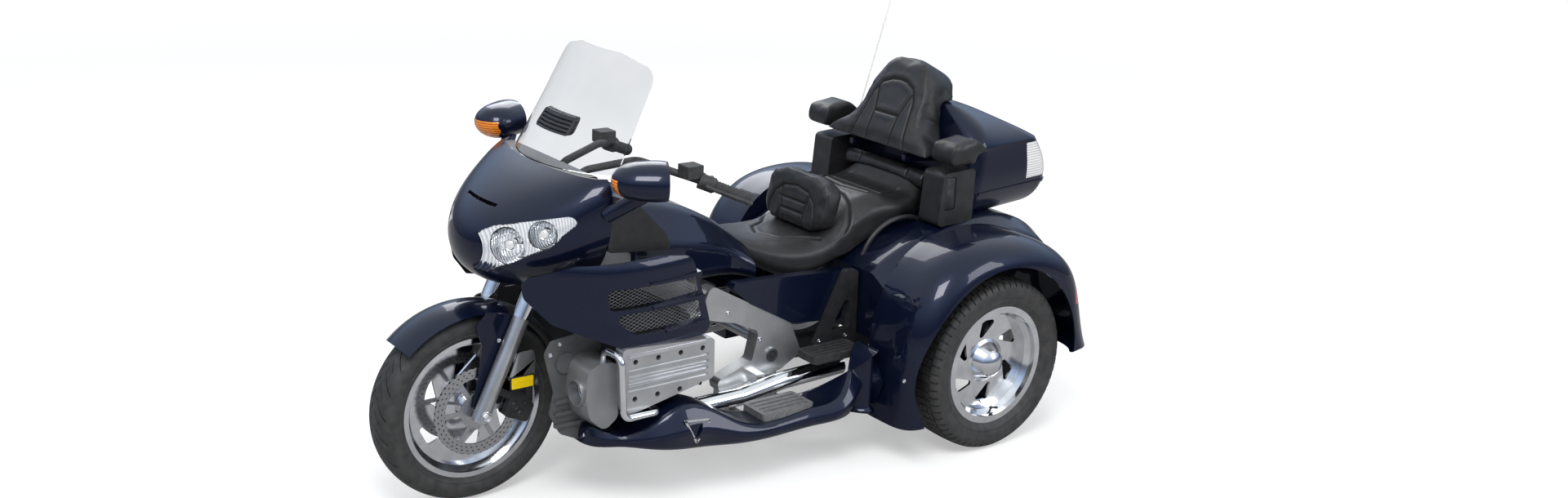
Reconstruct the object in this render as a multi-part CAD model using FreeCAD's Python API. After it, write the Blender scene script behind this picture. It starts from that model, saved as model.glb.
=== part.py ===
import FreeCAD, Part
import math
import os

os.makedirs("parts", exist_ok=True)
Vector = FreeCAD.Vector

# Driving sizes in millimetres and degrees. While the pieces are made, X runs forward from the
# rear axle, Y to the vehicle's left and Z up from the ground; save() then moves X to mid length.
wheelbase = 1765.0
track = 1120.0
overall_width = 1400.0
rear_overhang = 545.0
front_tyre_radius = 320.0
rear_tyre_radius = 320.0
rake_angle = 25.0
fork_offset = 36.0
running_clearance = 0.05
seam = 0.3
overrun = 20.0
full_turn = 360.0

half_width = overall_width / 2
middle_x = (wheelbase + front_tyre_radius - rear_overhang) / 2
front_axle_height = front_tyre_radius
rear_axle_height = rear_tyre_radius
corner_share = 0.45

origin = Vector(0, 0, 0)
along_x = Vector(1, 0, 0)
along_y = Vector(0, 1, 0)
along_z = Vector(0, 0, 1)


# Shared ways of making shapes
def block(x, y, z):
    """A box between pairs of low and high places."""
    return Part.makeBox(x[1] - x[0], y[1] - y[0], z[1] - z[0], Vector(x[0], y[0], z[0]))


def rod(start, end, radius):
    """A round bar from one point to another."""
    way = end - start
    return Part.makeCylinder(radius, way.Length, start, way)


def drum(x, z, radius, y_low, y_high):
    """A cylinder across the vehicle."""
    return Part.makeCylinder(radius, y_high - y_low, Vector(x, y_low, z), along_y)


def mirrored(shape):
    """The same piece on the other side of the vehicle."""
    return shape.mirror(origin, along_y)


def both_sides(shape):
    """The left piece and its mirror image."""
    return Part.makeCompound([shape, mirrored(shape)])


def fused(shapes):
    """One solid of several that meet."""
    return shapes[0].multiFuse(shapes[1:]).removeSplitter()


def rounded_wire(corners, radius):
    """A closed flat outline with its corners rounded as far as its sides allow."""
    arcs = []
    for index, corner in enumerate(corners):
        back = corners[index - 1] - corner
        ahead = corners[(index + 1) % len(corners)] - corner
        half_angle = back.getAngle(ahead) / 2
        reach = min(radius / math.tan(half_angle), corner_share * min(back.Length, ahead.Length))
        bend = reach * math.tan(half_angle)
        back.normalize()
        ahead.normalize()
        inward = back + ahead
        inward.normalize()
        middle = corner + inward * (bend / math.sin(half_angle) - bend)
        arcs.append((corner + back * reach, middle, corner + ahead * reach))
    edges = []
    for index, (start, middle, end) in enumerate(arcs):
        edges.append(Part.Arc(start, middle, end).toShape())
        edges.append(Part.LineSegment(end, arcs[(index + 1) % len(arcs)][0]).toShape())
    return Part.Wire(edges)


def bent_bar(points, radius, bend):
    """A round bar of straight runs, each corner turned on an arc as large as its runs allow."""
    parts = []
    start = points[0]
    for index in range(1, len(points) - 1):
        corner = points[index]
        back = points[index - 1] - corner
        ahead = points[index + 1] - corner
        half_angle = back.getAngle(ahead) / 2
        reach = min(bend / math.tan(half_angle), corner_share * min(back.Length, ahead.Length))
        turn_radius = reach * math.tan(half_angle)
        back.normalize()
        ahead.normalize()
        inward = back + ahead
        inward.normalize()
        middle = corner + inward * (turn_radius / math.sin(half_angle))
        bend_start = corner + back * reach
        section = Part.Face(Part.Wire([Part.makeCircle(radius, bend_start, back)]))
        parts.append(rod(start, bend_start, radius))
        parts.append(section.revolve(middle, ahead.cross(back), full_turn / 2 - math.degrees(half_angle * 2)))
        start = corner + ahead * reach
    parts.append(rod(start, points[-1], radius))
    return fused(parts)


def spread(shares, corner, size):
    """Places in a plane from shares of a size, measured from a corner."""
    return [(corner[0] + across * size[0], corner[1] + up * size[1]) for across, up in shares]


def rows(shares, lows, sizes):
    """Rows of places from shares of a size for each column, measured from that column's low place."""
    return [tuple(low + share * size for share, low, size in zip(row, lows, sizes)) for row in shares]


def in_side_view(places, y):
    return [Vector(x, y, z) for x, z in places]


def in_front_view(places, x):
    return [Vector(x, y, z) for y, z in places]


def in_top_view(places, z):
    return [Vector(x, y, z) for x, y in places]


def prism(wire, way):
    """A flat outline pushed along a way."""
    return Part.Face(wire).extrude(way)


def side_plate(places, y_low, y_high, radius):
    """A plate with an outline in the side view."""
    return prism(rounded_wire(in_side_view(places, y_low), radius), Vector(0, y_high - y_low, 0))


def front_prism(places, x_low, x_high, radius):
    """A solid with an outline in the front view."""
    return prism(rounded_wire(in_front_view(places, x_low), radius), Vector(x_high - x_low, 0, 0))


def loft(wires, ruled=False):
    """A solid skin through outlines."""
    return Part.makeLoft(wires, True, ruled)


def turned(places, x, z):
    """A solid of revolution about the wheel axis from places given as (y, radius)."""
    face = Part.Face(Part.makePolygon([Vector(0, y, r) for y, r in places + places[:1]]))
    solid = face.revolve(origin, along_y, full_turn)
    solid.translate(Vector(x, 0, z))
    return solid


def save(name, shape):
    """Write one piece, measured from the middle of the vehicle's length."""
    piece = shape.copy()
    piece.translate(Vector(-middle_x, 0, 0))
    box = piece.BoundBox
    print(name, len(piece.Solids), piece.isValid(), [round(v) for v in (
        box.XMin, box.XMax, box.YMin, box.YMax, box.ZMin, box.ZMax)], round(piece.Volume))
    piece.exportStep("parts/" + name + ".step")


# Tyres: hollow, with a round tread in front and a flatter one behind, built from flat facets
front_tyre_width = 130.0
front_seat_radius = 228.6
rear_tyre_width = 205.0
rear_seat_radius = 203.2
tyre_wall = 12.0
clinch_gap = 4.0
front_shoulder_share = 0.80
rear_shoulder_share = 0.86
front_crown_drop = 34.0
rear_crown_drop = 16.0
sidewall_share = 0.45
front_bead_width = 88.0
rear_bead_width = 150.0
tyre_facet_count = 60
side_place_share = 0.5
crown_place_share = 0.25


def along_arc(start, middle, end, share):
    """The place at a share of the way along an arc."""
    arc = Part.Arc(*[Vector(0, y, r) for y, r in (start, middle, end)])
    point = arc.value(arc.FirstParameter + (arc.LastParameter - arc.FirstParameter) * share)
    return point.y, point.z


def ring_of_facets(places):
    """A solid ring about the wheel axis whose flat facets touch the round shape from outside."""
    step = math.radians(full_turn / tyre_facet_count)
    reach = 1 / math.cos(step / 2)
    rings = []
    for index in range(tyre_facet_count):
        angle = step * index + step / 2
        rings.append([Vector(r * reach * math.sin(angle), y, r * reach * math.cos(angle)) for y, r in places])
    faces = []
    for index, ring in enumerate(rings):
        behind = rings[index - 1]
        for spot in range(len(places)):
            corners = [ring[spot], ring[spot - 1], behind[spot - 1], behind[spot]]
            faces.append(Part.Face(Part.makePolygon(corners + corners[:1])))
    shell = Part.Shell(faces)
    shell.sewShape()
    return Part.Solid(shell)


def tyre(radius, seat_radius, flange_height, width, bead_width, shoulder_share, crown_drop):
    foot = seat_radius + seam
    clinch = seat_radius + flange_height + clinch_gap
    side_radius = clinch + (radius - clinch) * sidewall_share
    bead = bead_width / 2
    shoulder = (width / 2 * shoulder_share, radius - crown_drop)
    side = along_arc((bead, clinch), (width / 2, side_radius), shoulder, side_place_share)
    crown = along_arc(shoulder, (0, radius), (-shoulder[0], shoulder[1]), crown_place_share)
    outer = [(bead, foot), (bead, clinch), side, shoulder, crown]
    inner = [(width / 2 - tyre_wall, side_radius), (bead - tyre_wall, foot)]
    left = [(-y, r) for y, r in reversed(outer)]
    return ring_of_facets(outer + [(0, radius)] + left + [(-y, r) for y, r in reversed(inner)]
                          + [(0, radius - tyre_wall)] + inner)


# Rims: a drop-centre barrel, a dished disc with slots that lean the same way, a hub and a cap
flange_thickness = 6.0
barrel_wall = 7.0
barrel_drop = 16.0
slot_count = 6
front_flange_height = 13.0
rear_flange_height = 17.0
front_well_half = 22.0
rear_well_half = 46.0
disc_wall = 9.0
front_disc_face = 16.0
rear_disc_face = 24.0
front_hub_radius = 42.0
rear_hub_radius = 66.0
front_hub_half = 72.0
rear_hub_outer = 70.0
rear_hub_inner = 58.0
front_axle_radius = 12.0
rear_stub_radius = 20.0
cap_radius = 44.0
cap_height = 16.0
slot_inner_share = 0.46
slot_outer_share = 0.86
slot_lean = 20.0
slot_spread = 26.0
slot_corner = 10.0
step_height = 6.0


def barrel(seat_radius, flange_height, bead_width, well_half):
    """The barrel that carries the tyre, flange to flange."""
    flange_half = bead_width / 2 + seam + flange_thickness
    seat_half = bead_width / 2 + seam
    well = seat_radius - barrel_drop
    well_side = well_half + barrel_drop
    top = seat_radius + flange_height
    half = [(flange_half, top), (seat_half, top), (seat_half, seat_radius),
            (well_side, seat_radius), (well_half, well)]
    inside = [(well_half, well - barrel_wall), (well_side, seat_radius - barrel_wall),
              (flange_half, seat_radius - barrel_wall)]
    over = half + [(-y, r) for y, r in reversed(half)]
    under = [(-y, r) for y, r in reversed(inside)] + inside
    return turned(over + under, 0, 0)


def slot_cutters(disc_radius, y_low, y_high):
    """Six leaning three-cornered slots."""
    inner = disc_radius * slot_inner_share
    outer = disc_radius * slot_outer_share
    cutters = []
    for index in range(slot_count):
        start = index * full_turn / slot_count
        polar = [(inner, start), (outer, start + slot_lean), (outer, start + slot_lean + slot_spread)]
        corners = [Vector(r * math.cos(math.radians(a)), y_low, r * math.sin(math.radians(a)))
                   for r, a in polar]
        cutters.append(prism(rounded_wire(corners, slot_corner), Vector(0, y_high - y_low, 0)))
    return cutters


def disc_radius_of(seat_radius):
    """Where the dished disc meets the well of the barrel."""
    return seat_radius - barrel_drop - barrel_wall / 2


def rear_rim():
    """The rim of the left rear wheel, with its face to +Y."""
    edge = disc_radius_of(rear_seat_radius)
    face = rear_disc_face
    dish = [(face, edge), (face - disc_wall, edge), (face - disc_wall, rear_stub_radius),
            (rear_hub_outer - cap_height, 0), (rear_hub_outer, 0), (rear_hub_outer, cap_radius),
            (rear_hub_outer - step_height, cap_radius + step_height),
            (face + step_height, rear_hub_radius + step_height), (face, rear_hub_radius + barrel_drop)]
    hub = [(-rear_hub_inner, 0), (face, 0), (face, rear_hub_radius), (-rear_hub_inner, rear_hub_radius)]
    solid = fused([barrel(rear_seat_radius, rear_flange_height, rear_bead_width, rear_well_half),
                   turned(dish, 0, 0), turned(hub, 0, 0), rear_cap()])
    for cutter in slot_cutters(edge, face - disc_wall - overrun, face + overrun):
        solid = solid.cut(cutter)
    bore = rear_stub_radius + running_clearance
    return solid.cut(drum(0, 0, bore, -rear_hub_inner - overrun, rear_hub_outer - cap_height))


def rear_cap():
    """The domed centre cap, a slice of a ball."""
    ball = (cap_radius * cap_radius + cap_height * cap_height) / (cap_height + cap_height)
    middle = rear_hub_outer + cap_height - ball
    dome = Part.makeSphere(ball, Vector(0, middle, 0))
    return dome.common(drum(0, 0, cap_radius, rear_hub_outer - seam, rear_hub_outer + cap_height + overrun))


def front_rim():
    edge = disc_radius_of(front_seat_radius)
    half = disc_wall / 2
    foot = front_hub_radius + front_hub_radius
    dish = [(-half, 0), (half, 0), (half, edge), (-half, edge)]
    boss = [(-front_disc_face, 0), (front_disc_face, 0), (front_disc_face, front_hub_radius + step_height),
            (half, foot), (-half, foot), (-front_disc_face, front_hub_radius + step_height)]
    hub = [(-front_hub_half, 0), (front_hub_half, 0), (front_hub_half, front_hub_radius),
           (-front_hub_half, front_hub_radius)]
    solid = fused([barrel(front_seat_radius, front_flange_height, front_bead_width, front_well_half),
                   turned(dish, 0, 0), turned(boss, 0, 0), turned(hub, 0, 0)])
    for cutter in slot_cutters(edge, -overrun, overrun):
        solid = solid.cut(cutter)
    bore = front_axle_radius + running_clearance
    return solid.cut(drum(0, 0, bore, -front_hub_half - overrun, front_hub_half + overrun))


# Front brake discs, one on each end of the hub
brake_radius = 148.0
brake_ring_inner = 112.0
brake_thickness = 5.0
carrier_radius = 58.0
carrier_arm_width = 16.0
carrier_arm_count = 6


def front_discs():
    """Two discs, each a ring on arms from a round carrier."""
    low = front_hub_half
    high = front_hub_half + brake_thickness
    ring_bore = drum(0, 0, brake_ring_inner, low - overrun, high + overrun)
    ring = drum(0, 0, brake_radius, low, high).cut(ring_bore)
    parts = [ring, drum(0, 0, carrier_radius, low, high)]
    for index in range(carrier_arm_count):
        arm = block((carrier_radius - carrier_arm_width, brake_ring_inner + carrier_arm_width / 2),
                    (low, high), (-carrier_arm_width / 2, carrier_arm_width / 2))
        arm.rotate(origin, along_y, index * full_turn / carrier_arm_count)
        parts.append(arm)
    disc = fused(parts)
    return disc.cut(drum(0, 0, front_axle_radius + seam, low - overrun, high + overrun))


def make_wheels():
    front = Vector(wheelbase, 0, front_axle_height)
    front_parts = [("front_tyre", tyre(front_tyre_radius, front_seat_radius, front_flange_height,
                                       front_tyre_width, front_bead_width, front_shoulder_share,
                                       front_crown_drop)),
                   ("front_rim", front_rim()),
                   ("front_discs", both_sides(front_discs()))]
    for name, solid in front_parts:
        solid.translate(front)
        save(name, solid)
    rear_parts = [("rear_tyre", tyre(rear_tyre_radius, rear_seat_radius, rear_flange_height, rear_tyre_width,
                                     rear_bead_width, rear_shoulder_share, rear_crown_drop)),
                  ("rear_rim", rear_rim())]
    for name, solid in rear_parts:
        solid.translate(Vector(0, track / 2, rear_axle_height))
        save(name + "_left", solid)
        save(name + "_right", mirrored(solid))


# Fork: places are measured in its own frame, u forward of the legs and w up along them
leg_spacing = 220.0
leg_radius = 27.0
leg_length = 335.0
leg_drop = 26.0
tube_radius = 21.0
cover_radius = 31.0
cover_length = 175.0
stem_radius = 14.0
head_radius = 32.0
head_length = 180.0
yoke_thickness = 28.0
yoke_depth = 62.0
axle_nut_radius = 18.0
axle_nut_length = 10.0

leg_y = leg_spacing / 2
axle_half = leg_y + leg_radius + axle_nut_length


def on_fork(shape):
    """Lean a piece made in the fork's frame and set it on the front axle."""
    piece = shape.copy()
    piece.rotate(origin, along_y, -rake_angle)
    piece.translate(Vector(wheelbase, 0, front_axle_height))
    return piece


def fork_legs():
    """Silver lower legs with a clamp eye round the axle."""
    leg = Part.makeCylinder(leg_radius, leg_length + leg_drop, Vector(0, leg_y, -leg_drop), along_z)
    leg = leg.cut(drum(0, 0, front_axle_radius, leg_y - leg_radius - overrun, leg_y + leg_radius + overrun))
    return leg


def fork_covers():
    """Bright covers round the upper tubes, from the legs to the lower yoke."""
    low = leg_length + seam
    cover = Part.makeCylinder(cover_radius, cover_length, Vector(0, leg_y, low), along_z)
    core = Part.makeCylinder(tube_radius + seam, cover_length, Vector(0, leg_y, low), along_z)
    return cover.cut(core)


def yoke(low):
    """A bridge between the fork tubes and the steering stem."""
    back = -fork_offset - stem_radius - stem_radius
    plate = block((back, yoke_depth / 2), (-leg_y, leg_y), (low, low + yoke_thickness))
    ends = [Part.makeCylinder(yoke_depth / 2, yoke_thickness, Vector(0, y, low), along_z)
            for y in (leg_y, -leg_y)]
    return fused([plate] + ends)


def steering_stem():
    """Both yokes, the stem between them and the upper tubes."""
    low = leg_length + seam + cover_length
    top = low + yoke_thickness + seam + head_length + seam
    stem = Part.makeCylinder(stem_radius, top - low, Vector(-fork_offset, 0, low), along_z)
    tube = rod(Vector(0, leg_y, leg_length), Vector(0, leg_y, top + yoke_thickness), tube_radius)
    return fused([yoke(low), yoke(top), stem, tube, mirrored(tube)])


def front_axle():
    """The axle through the hub and both legs, with a nut at each end."""
    pin = drum(0, 0, front_axle_radius, -axle_half, axle_half)
    nut = drum(0, 0, axle_nut_radius, leg_y + leg_radius, axle_half)
    return fused([pin, nut, mirrored(nut)])


# Front brake calipers, behind the legs and round the discs
caliper_inner = 58.0
caliper_outer = 104.0
caliper_near_share = 0.62
caliper_slot = 3.0
caliper_low = 10.0
caliper_high = 118.0
caliper_reach = 178.0
caliper_corner = 14.0
caliper_depth = 95.0
bracket_width = 14.0


def front_caliper():
    """A caliper that straddles the disc, with the bracket that holds it to the leg."""
    back = -caliper_reach
    near = back + caliper_depth
    outline = [(near, caliper_low), (near, caliper_high), (back, caliper_high * caliper_near_share),
               (back, caliper_low)]
    body = side_plate(outline, caliper_inner, caliper_outer, caliper_corner)
    slot = drum(0, 0, brake_radius + caliper_slot, front_hub_half - caliper_slot,
                front_hub_half + brake_thickness + caliper_slot)
    bracket = block((near - bracket_width, 0), (leg_y - bracket_width, leg_y - bracket_width / 2),
                    (caliper_high - caliper_depth / 2, caliper_high))
    leg = Part.makeCylinder(leg_radius + seam, leg_length, Vector(0, leg_y, -leg_drop), along_z)
    return fused([body.cut(slot), bracket]).cut(leg)


# Front fender: a crowned shell round the tyre with a wing down each leg, and a black rear guard
fender_radius = 327.0
fender_crown = 24.0
fender_half = 88.0
fender_wall = 3.5
fender_front_angle = 45.0
fender_rear_angle = 110.0
guard_rear_angle = 198.0
guard_half = 74.0
wing_front_shares = [(0.0, 0.03), (0.18, 0.0), (0.40, 0.34), (0.62, 0.62), (1.0, 0.78), (0.8, 1.0),
                     (0.0, 1.0)]
wing_reach = 130.0
wing_height = 335.0
wing_thickness = 4.0
wing_corner = 12.0


def guard_shell(half, start, end):
    """Part of a crowned ring about the axle, between two angles above the forward way."""
    low = fender_radius
    high = fender_radius + fender_crown
    outer = Part.Arc(Vector(0, -half, low), Vector(0, 0, high), Vector(0, half, low))
    inner = Part.Arc(Vector(0, half - fender_wall, low), Vector(0, 0, high - fender_wall),
                     Vector(0, -half + fender_wall, low))
    feet = [Part.LineSegment(Vector(0, half, low), Vector(0, half - fender_wall, low)),
            Part.LineSegment(Vector(0, -half + fender_wall, low), Vector(0, -half, low))]
    edges = [outer.toShape(), feet[0].toShape(), inner.toShape(), feet[1].toShape()]
    face = Part.Face(Part.Wire(edges))
    face.rotate(origin, along_y, full_turn / 4 - start)
    return face.revolve(origin, along_y, start - end)


def fender_wing():
    """The painted wing from the shell down the front of the leg to the axle."""
    places = spread(wing_front_shares, (0, 0), (wing_reach, wing_height))
    plate = side_plate(places, fender_half - wing_thickness, fender_half, wing_corner)
    leg_way = Part.makeCylinder(leg_radius + seam, wing_height + overrun, Vector(0, leg_y, -overrun), along_z)
    plate = plate.cut(leg_way)
    plate.rotate(origin, along_y, -rake_angle)
    plate = plate.common(drum(0, 0, fender_radius + fender_wall, 0, half_width))
    return plate.cut(drum(0, 0, axle_nut_radius, 0, half_width))


def front_fender():
    """The painted shell with a wing on each side."""
    shell = guard_shell(fender_half, fender_front_angle, fender_rear_angle)
    wing = fender_wing()
    whole = fused([shell, wing, mirrored(wing)])
    whole.translate(Vector(wheelbase, 0, front_axle_height))
    return whole


def rear_guard():
    """The narrower black guard behind the front wheel."""
    guard = guard_shell(guard_half, fender_rear_angle, guard_rear_angle)
    guard.translate(Vector(wheelbase, 0, front_axle_height))
    return guard


# Handlebar with its grips, switch boxes, reservoirs and levers
bar_radius = 12.7
bar_bend = 60.0
bar_set_back = 333.0
bar_reach = 500.0
bar_half = 380.0
bar_foot = 975.0
bar_height = 125.0
bar_shares = [(0.0, 0.16, 0.0), (0.1, 0.16, 0.73), (0.44, 0.32, 0.98), (0.7, 0.74, 0.63), (1.0, 1.0, 0.12)]
grip_radius = 18.0
grip_length = 130.0
switch_size = 52.0
reservoir_size = 60.0
reservoir_height = 42.0
lever_radius = 6.0
lever_stand = 48.0


def handlebar():
    lows = (wheelbase - bar_set_back, 0, bar_foot)
    points = [Vector(*place) for place in rows(bar_shares, lows, (-bar_reach, bar_half, bar_height))]
    bar = bent_bar(points, bar_radius, bar_bend)
    way = points[-2] - points[-1]
    way.normalize()
    ahead = along_z.cross(way)
    ahead.normalize()
    if ahead.x < 0:
        ahead = -ahead
    box_start = points[-1] + way * (grip_length + seam)
    box_end = box_start + way * switch_size
    grip = rod(points[-1], points[-1] + way * grip_length, grip_radius)
    switches = rod(box_start, box_end, switch_size / 2)
    half = reservoir_size / 2
    tank = block((-half, half), (-half, half), (0, reservoir_height))
    tank.translate(box_end + way * half)
    pivot = (box_start + box_end) / 2
    bend = pivot + ahead * lever_stand
    tip = points[-1] + ahead * lever_stand
    parts = [grip, switches, tank, rod(pivot, bend, lever_radius), rod(bend, tip, lever_radius),
             Part.makeSphere(lever_radius, bend)]
    for part in parts:
        bar = bar.fuse(part)
    return bar.cut(on_fork(steering_stem()))


def make_steering():
    save("steering_stem", on_fork(steering_stem()))
    save("fork_legs", on_fork(both_sides(fork_legs())))
    save("fork_covers", on_fork(both_sides(fork_covers())))
    save("front_axle", on_fork(front_axle()))
    save("front_calipers", on_fork(both_sides(front_caliper())))
    save("front_fender", front_fender())
    save("front_rear_guard", rear_guard())
    save("handlebar", both_sides(handlebar()))


# Frame: silver twin beams with a window, a head tube, engine mounts and arms for the boards
spar_set_back = 1125.0
spar_low = 270.0
spar_length = 400.0
spar_height = 400.0
spar_shares = [(0.88, 1.0), (0.57, 0.83), (0.02, 0.53), (-0.12, 0.22), (0.10, 0.10), (0.76, 0.0),
               (0.78, 0.12), (0.42, 0.24), (0.36, 0.50), (0.62, 0.62), (1.0, 0.72)]
spar_inner = 205.0
spar_outer = 258.0
spar_corner = 22.0
beam_width = 46.0
beam_height = 90.0
beam_start_share = 0.86
cross_tube_share = 0.25
cross_tube_radius = 24.0
pivot_boss_radius = 26.0
pivot_boss_height = 7.0
pivot_boss_shares = (0.22, 0.26)
board_arm_shares = (0.15, 0.65)
board_arm_width = 30.0
board_arm_low = 203.0
board_arm_height = 23.0
board_arm_top = 322.0
board_arm_lap = 6.0
engine_mount_length = 75.0
engine_mount_low = 548.0
engine_mount_height = 37.0
engine_mount_lap = 20.0

spar_rear = wheelbase - spar_set_back
spar_front = spar_rear + spar_length


def head_tube():
    """The tube that the steering stem turns in, and its bore."""
    low = leg_length + seam + cover_length + yoke_thickness + seam
    place = Vector(-fork_offset, 0, low)
    tube = Part.makeCylinder(head_radius, head_length, place, along_z)
    bore = Part.makeCylinder(stem_radius + running_clearance, head_length, place, along_z)
    return on_fork(tube), on_fork(bore)


def head_middle():
    """The middle of the head tube on the steering axis."""
    up = Vector(-math.sin(math.radians(rake_angle)), 0, math.cos(math.radians(rake_angle)))
    ahead = Vector(up.z, 0, -up.x)
    low = leg_length + seam + cover_length + yoke_thickness
    return Vector(wheelbase, 0, front_axle_height) + up * (low + head_length / 2) - ahead * fork_offset


def frame_beam(side):
    """One beam from the side plate up to the head tube."""
    start = Vector(spar_front - spar_corner, side * (spar_inner + beam_width / 2),
                   spar_low + spar_height * beam_start_share)
    way = head_middle() - start
    beam = Part.makeBox(way.Length, beam_width, beam_height, Vector(0, -beam_width / 2, -beam_height / 2))
    beam.rotate(origin, along_y, -math.degrees(math.atan2(way.z, math.hypot(way.x, way.y))))
    beam.rotate(origin, along_z, math.degrees(math.atan2(way.y, way.x)))
    beam.translate(start)
    return beam


def board_arms(board):
    """The feet under the side plates that the running boards are bolted to."""
    arms = []
    for share in board_arm_shares:
        x = (spar_rear + share * spar_length, spar_rear + share * spar_length + board_arm_width)
        low = (board_arm_low, board_arm_low + board_arm_height)
        upright = block(x, (spar_inner, spar_outer), (board_arm_low, board_arm_top))
        foot = block(x, (spar_inner, board_inner + board_arm_lap), low).cut(board)
        arms += [upright, foot, mirrored(upright), mirrored(foot)]
    return arms


def frame_spars(board, tank):
    tube, bore = head_tube()
    places = spread(spar_shares, (spar_rear, spar_low), (spar_length, spar_height))
    left = side_plate(places, spar_inner, spar_outer, spar_corner)
    boss_x, boss_z = spread([pivot_boss_shares], (spar_rear, spar_low), (spar_length, spar_height))[0]
    boss = drum(boss_x, boss_z, pivot_boss_radius, spar_outer, spar_outer + pivot_boss_height)
    cross = drum(spar_rear + spar_corner, spar_low + spar_height * cross_tube_share, cross_tube_radius,
                 -spar_outer + spar_corner, spar_outer - spar_corner)
    mount = block((engine_rear - engine_mount_length, engine_rear),
                  (engine_core_half - engine_mount_lap, spar_outer),
                  (engine_mount_low, engine_mount_low + engine_mount_height))
    parts = [left, mirrored(left), tube, cross, mount, mirrored(mount), boss, mirrored(boss)]
    parts += [frame_beam(1), frame_beam(-1)] + board_arms(board)
    return fused(parts).cut(bore).cut(tank)


# Engine: one plain block, with a ribbed silver cover on each bank
engine_set_back = 690.0
engine_length = 317.0
engine_low = 215.0
engine_height = 375.0
engine_core_half = 200.0
engine_half = 372.0
bank_inner = 242.0
valve_lead = 5.0
valve_low = 346.0
valve_length = 355.0
valve_height = 232.0
valve_shares = [(0.0, 0.30), (0.95, 0.0), (1.0, 1.0), (0.01, 0.90)]
valve_depth = 44.0
valve_corner = 18.0
groove_shares = (0.36, 0.46, 0.56, 0.66)
groove_height = 8.0
groove_depth = 5.0
groove_ends = 26.0
pocket_radius = 9.0
pocket_depth = 14.0
pocket_column_shares = (0.14, 0.38, 0.62, 0.86)
pocket_row_shares = (0.24, 0.78)

engine_rear = wheelbase - engine_set_back
engine_front = engine_rear + engine_length
valve_rear = engine_rear + valve_lead
valve_front = valve_rear + valve_length


def valve_places():
    return spread(valve_shares, (valve_rear, valve_low), (valve_length, valve_height))


def engine_block():
    core = block((engine_rear, engine_front), (-engine_core_half, engine_core_half),
                 (engine_low, engine_low + engine_height))
    banks = side_plate(valve_places(), -engine_half, engine_half, valve_corner)
    room = block((engine_front, wheelbase), (-bank_inner, bank_inner), (0, engine_low + engine_height))
    ahead = block((lower_cowl_rear, wheelbase), (-half_width, half_width), (0, engine_low + engine_height))
    return fused([core, banks.cut(room).cut(ahead)])


def valve_cover():
    """A cast cover with four long grooves and eight sunk bolt pockets."""
    face = engine_half + valve_depth
    cover = side_plate(valve_places(), engine_half, face, valve_corner)
    cutters = []
    for share in groove_shares:
        z = valve_low + share * valve_height
        cutters.append(block((valve_rear + groove_ends, valve_front - groove_ends),
                             (face - groove_depth, face + overrun), (z, z + groove_height)))
    for column in pocket_column_shares:
        for row in pocket_row_shares:
            z = valve_low + row * valve_height
            cutters.append(drum(valve_rear + column * valve_length, z, pocket_radius, face - pocket_depth,
                                face + overrun))
    return cover.cut(Part.makeCompound(cutters))


# Lower cowls: a silver box ahead of each bank with a round recess, and behind it a dark
# shield beside the front wheel with a round cover and slats
lower_cowl_set_back = 345.0
lower_cowl_length = 128.0
lower_cowl_low = 288.0
lower_cowl_height = 242.0
lower_cowl_shares = [(0.0, 0.16), (0.42, 0.0), (0.86, 0.22), (1.0, 0.5), (0.94, 0.92), (0.6, 1.0),
                     (0.0, 0.98)]
lower_cowl_inner = 262.0
lower_cowl_corner = 30.0
lower_cowl_taper = 10.0
fog_radius = 40.0
fog_depth = 42.0
fog_height_share = 0.55
fog_ring = 5.0

lower_cowl_rear = wheelbase - lower_cowl_set_back
lower_cowl_front = lower_cowl_rear + lower_cowl_length


def lower_cowl():
    """A box that narrows outward, with a lipped round recess in its front."""
    outer = engine_half - seam
    corner = (lower_cowl_rear, lower_cowl_low)
    size = (lower_cowl_length, lower_cowl_height)
    small = (lower_cowl_length - lower_cowl_taper, lower_cowl_height - lower_cowl_taper)
    wide = rounded_wire(in_side_view(spread(lower_cowl_shares, corner, size), lower_cowl_inner),
                        lower_cowl_corner)
    low = (lower_cowl_rear, lower_cowl_low + lower_cowl_taper / 2)
    slim = rounded_wire(in_side_view(spread(lower_cowl_shares, low, small), outer), lower_cowl_corner)
    middle = Vector(lower_cowl_front - fog_depth, (lower_cowl_inner + outer) / 2,
                    lower_cowl_low + lower_cowl_height * fog_height_share)
    recess = Part.makeCylinder(fog_radius, fog_depth + overrun, middle, along_x)
    lip = Part.makeCylinder(fog_radius + fog_ring, fog_depth, middle, along_x)
    return fused([loft([wide, slim]), lip]).cut(recess)


shield_rear_set_back = 345.0
shield_low = 222.0
shield_length = 205.0
shield_height = 375.0
shield_shares = [(0.0, 1.0), (0.39, 1.0), (0.88, 0.97), (1.0, 0.86), (0.83, 0.5), (0.91, 0.31),
                 (0.71, 0.11), (0.34, 0.01), (0.0, 0.04)]
shield_outer = 261.7
shield_wall = 7.0
shield_corner = 24.0
shield_boss_shares = (0.64, 0.76)
shield_boss_radius = 34.0
shield_boss_height = 8.0
slat_shares = (0.18, 0.29, 0.40)
slat_height = 12.0
slat_depth = 9.0
slat_length_shares = (0.38, 0.82)


def wheel_shield(cowl, board):
    """A dark panel inboard of the silver box, with a round cover and three slats."""
    corner = (wheelbase - shield_rear_set_back, shield_low)
    size = (shield_length, shield_height)
    inner = shield_outer - shield_wall
    plate = side_plate(spread(shield_shares, corner, size), inner, shield_outer, shield_corner)
    boss_x, boss_z = spread([shield_boss_shares], corner, size)[0]
    parts = [plate, drum(boss_x, boss_z, shield_boss_radius, inner, shield_outer + shield_boss_height)]
    x = [corner[0] + share * shield_length for share in slat_length_shares]
    for share in slat_shares:
        z = shield_low + share * shield_height
        parts.append(block(x, (inner, shield_outer + slat_depth), (z, z + slat_height)))
    return fused(parts).cut(cowl).cut(board)


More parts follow.
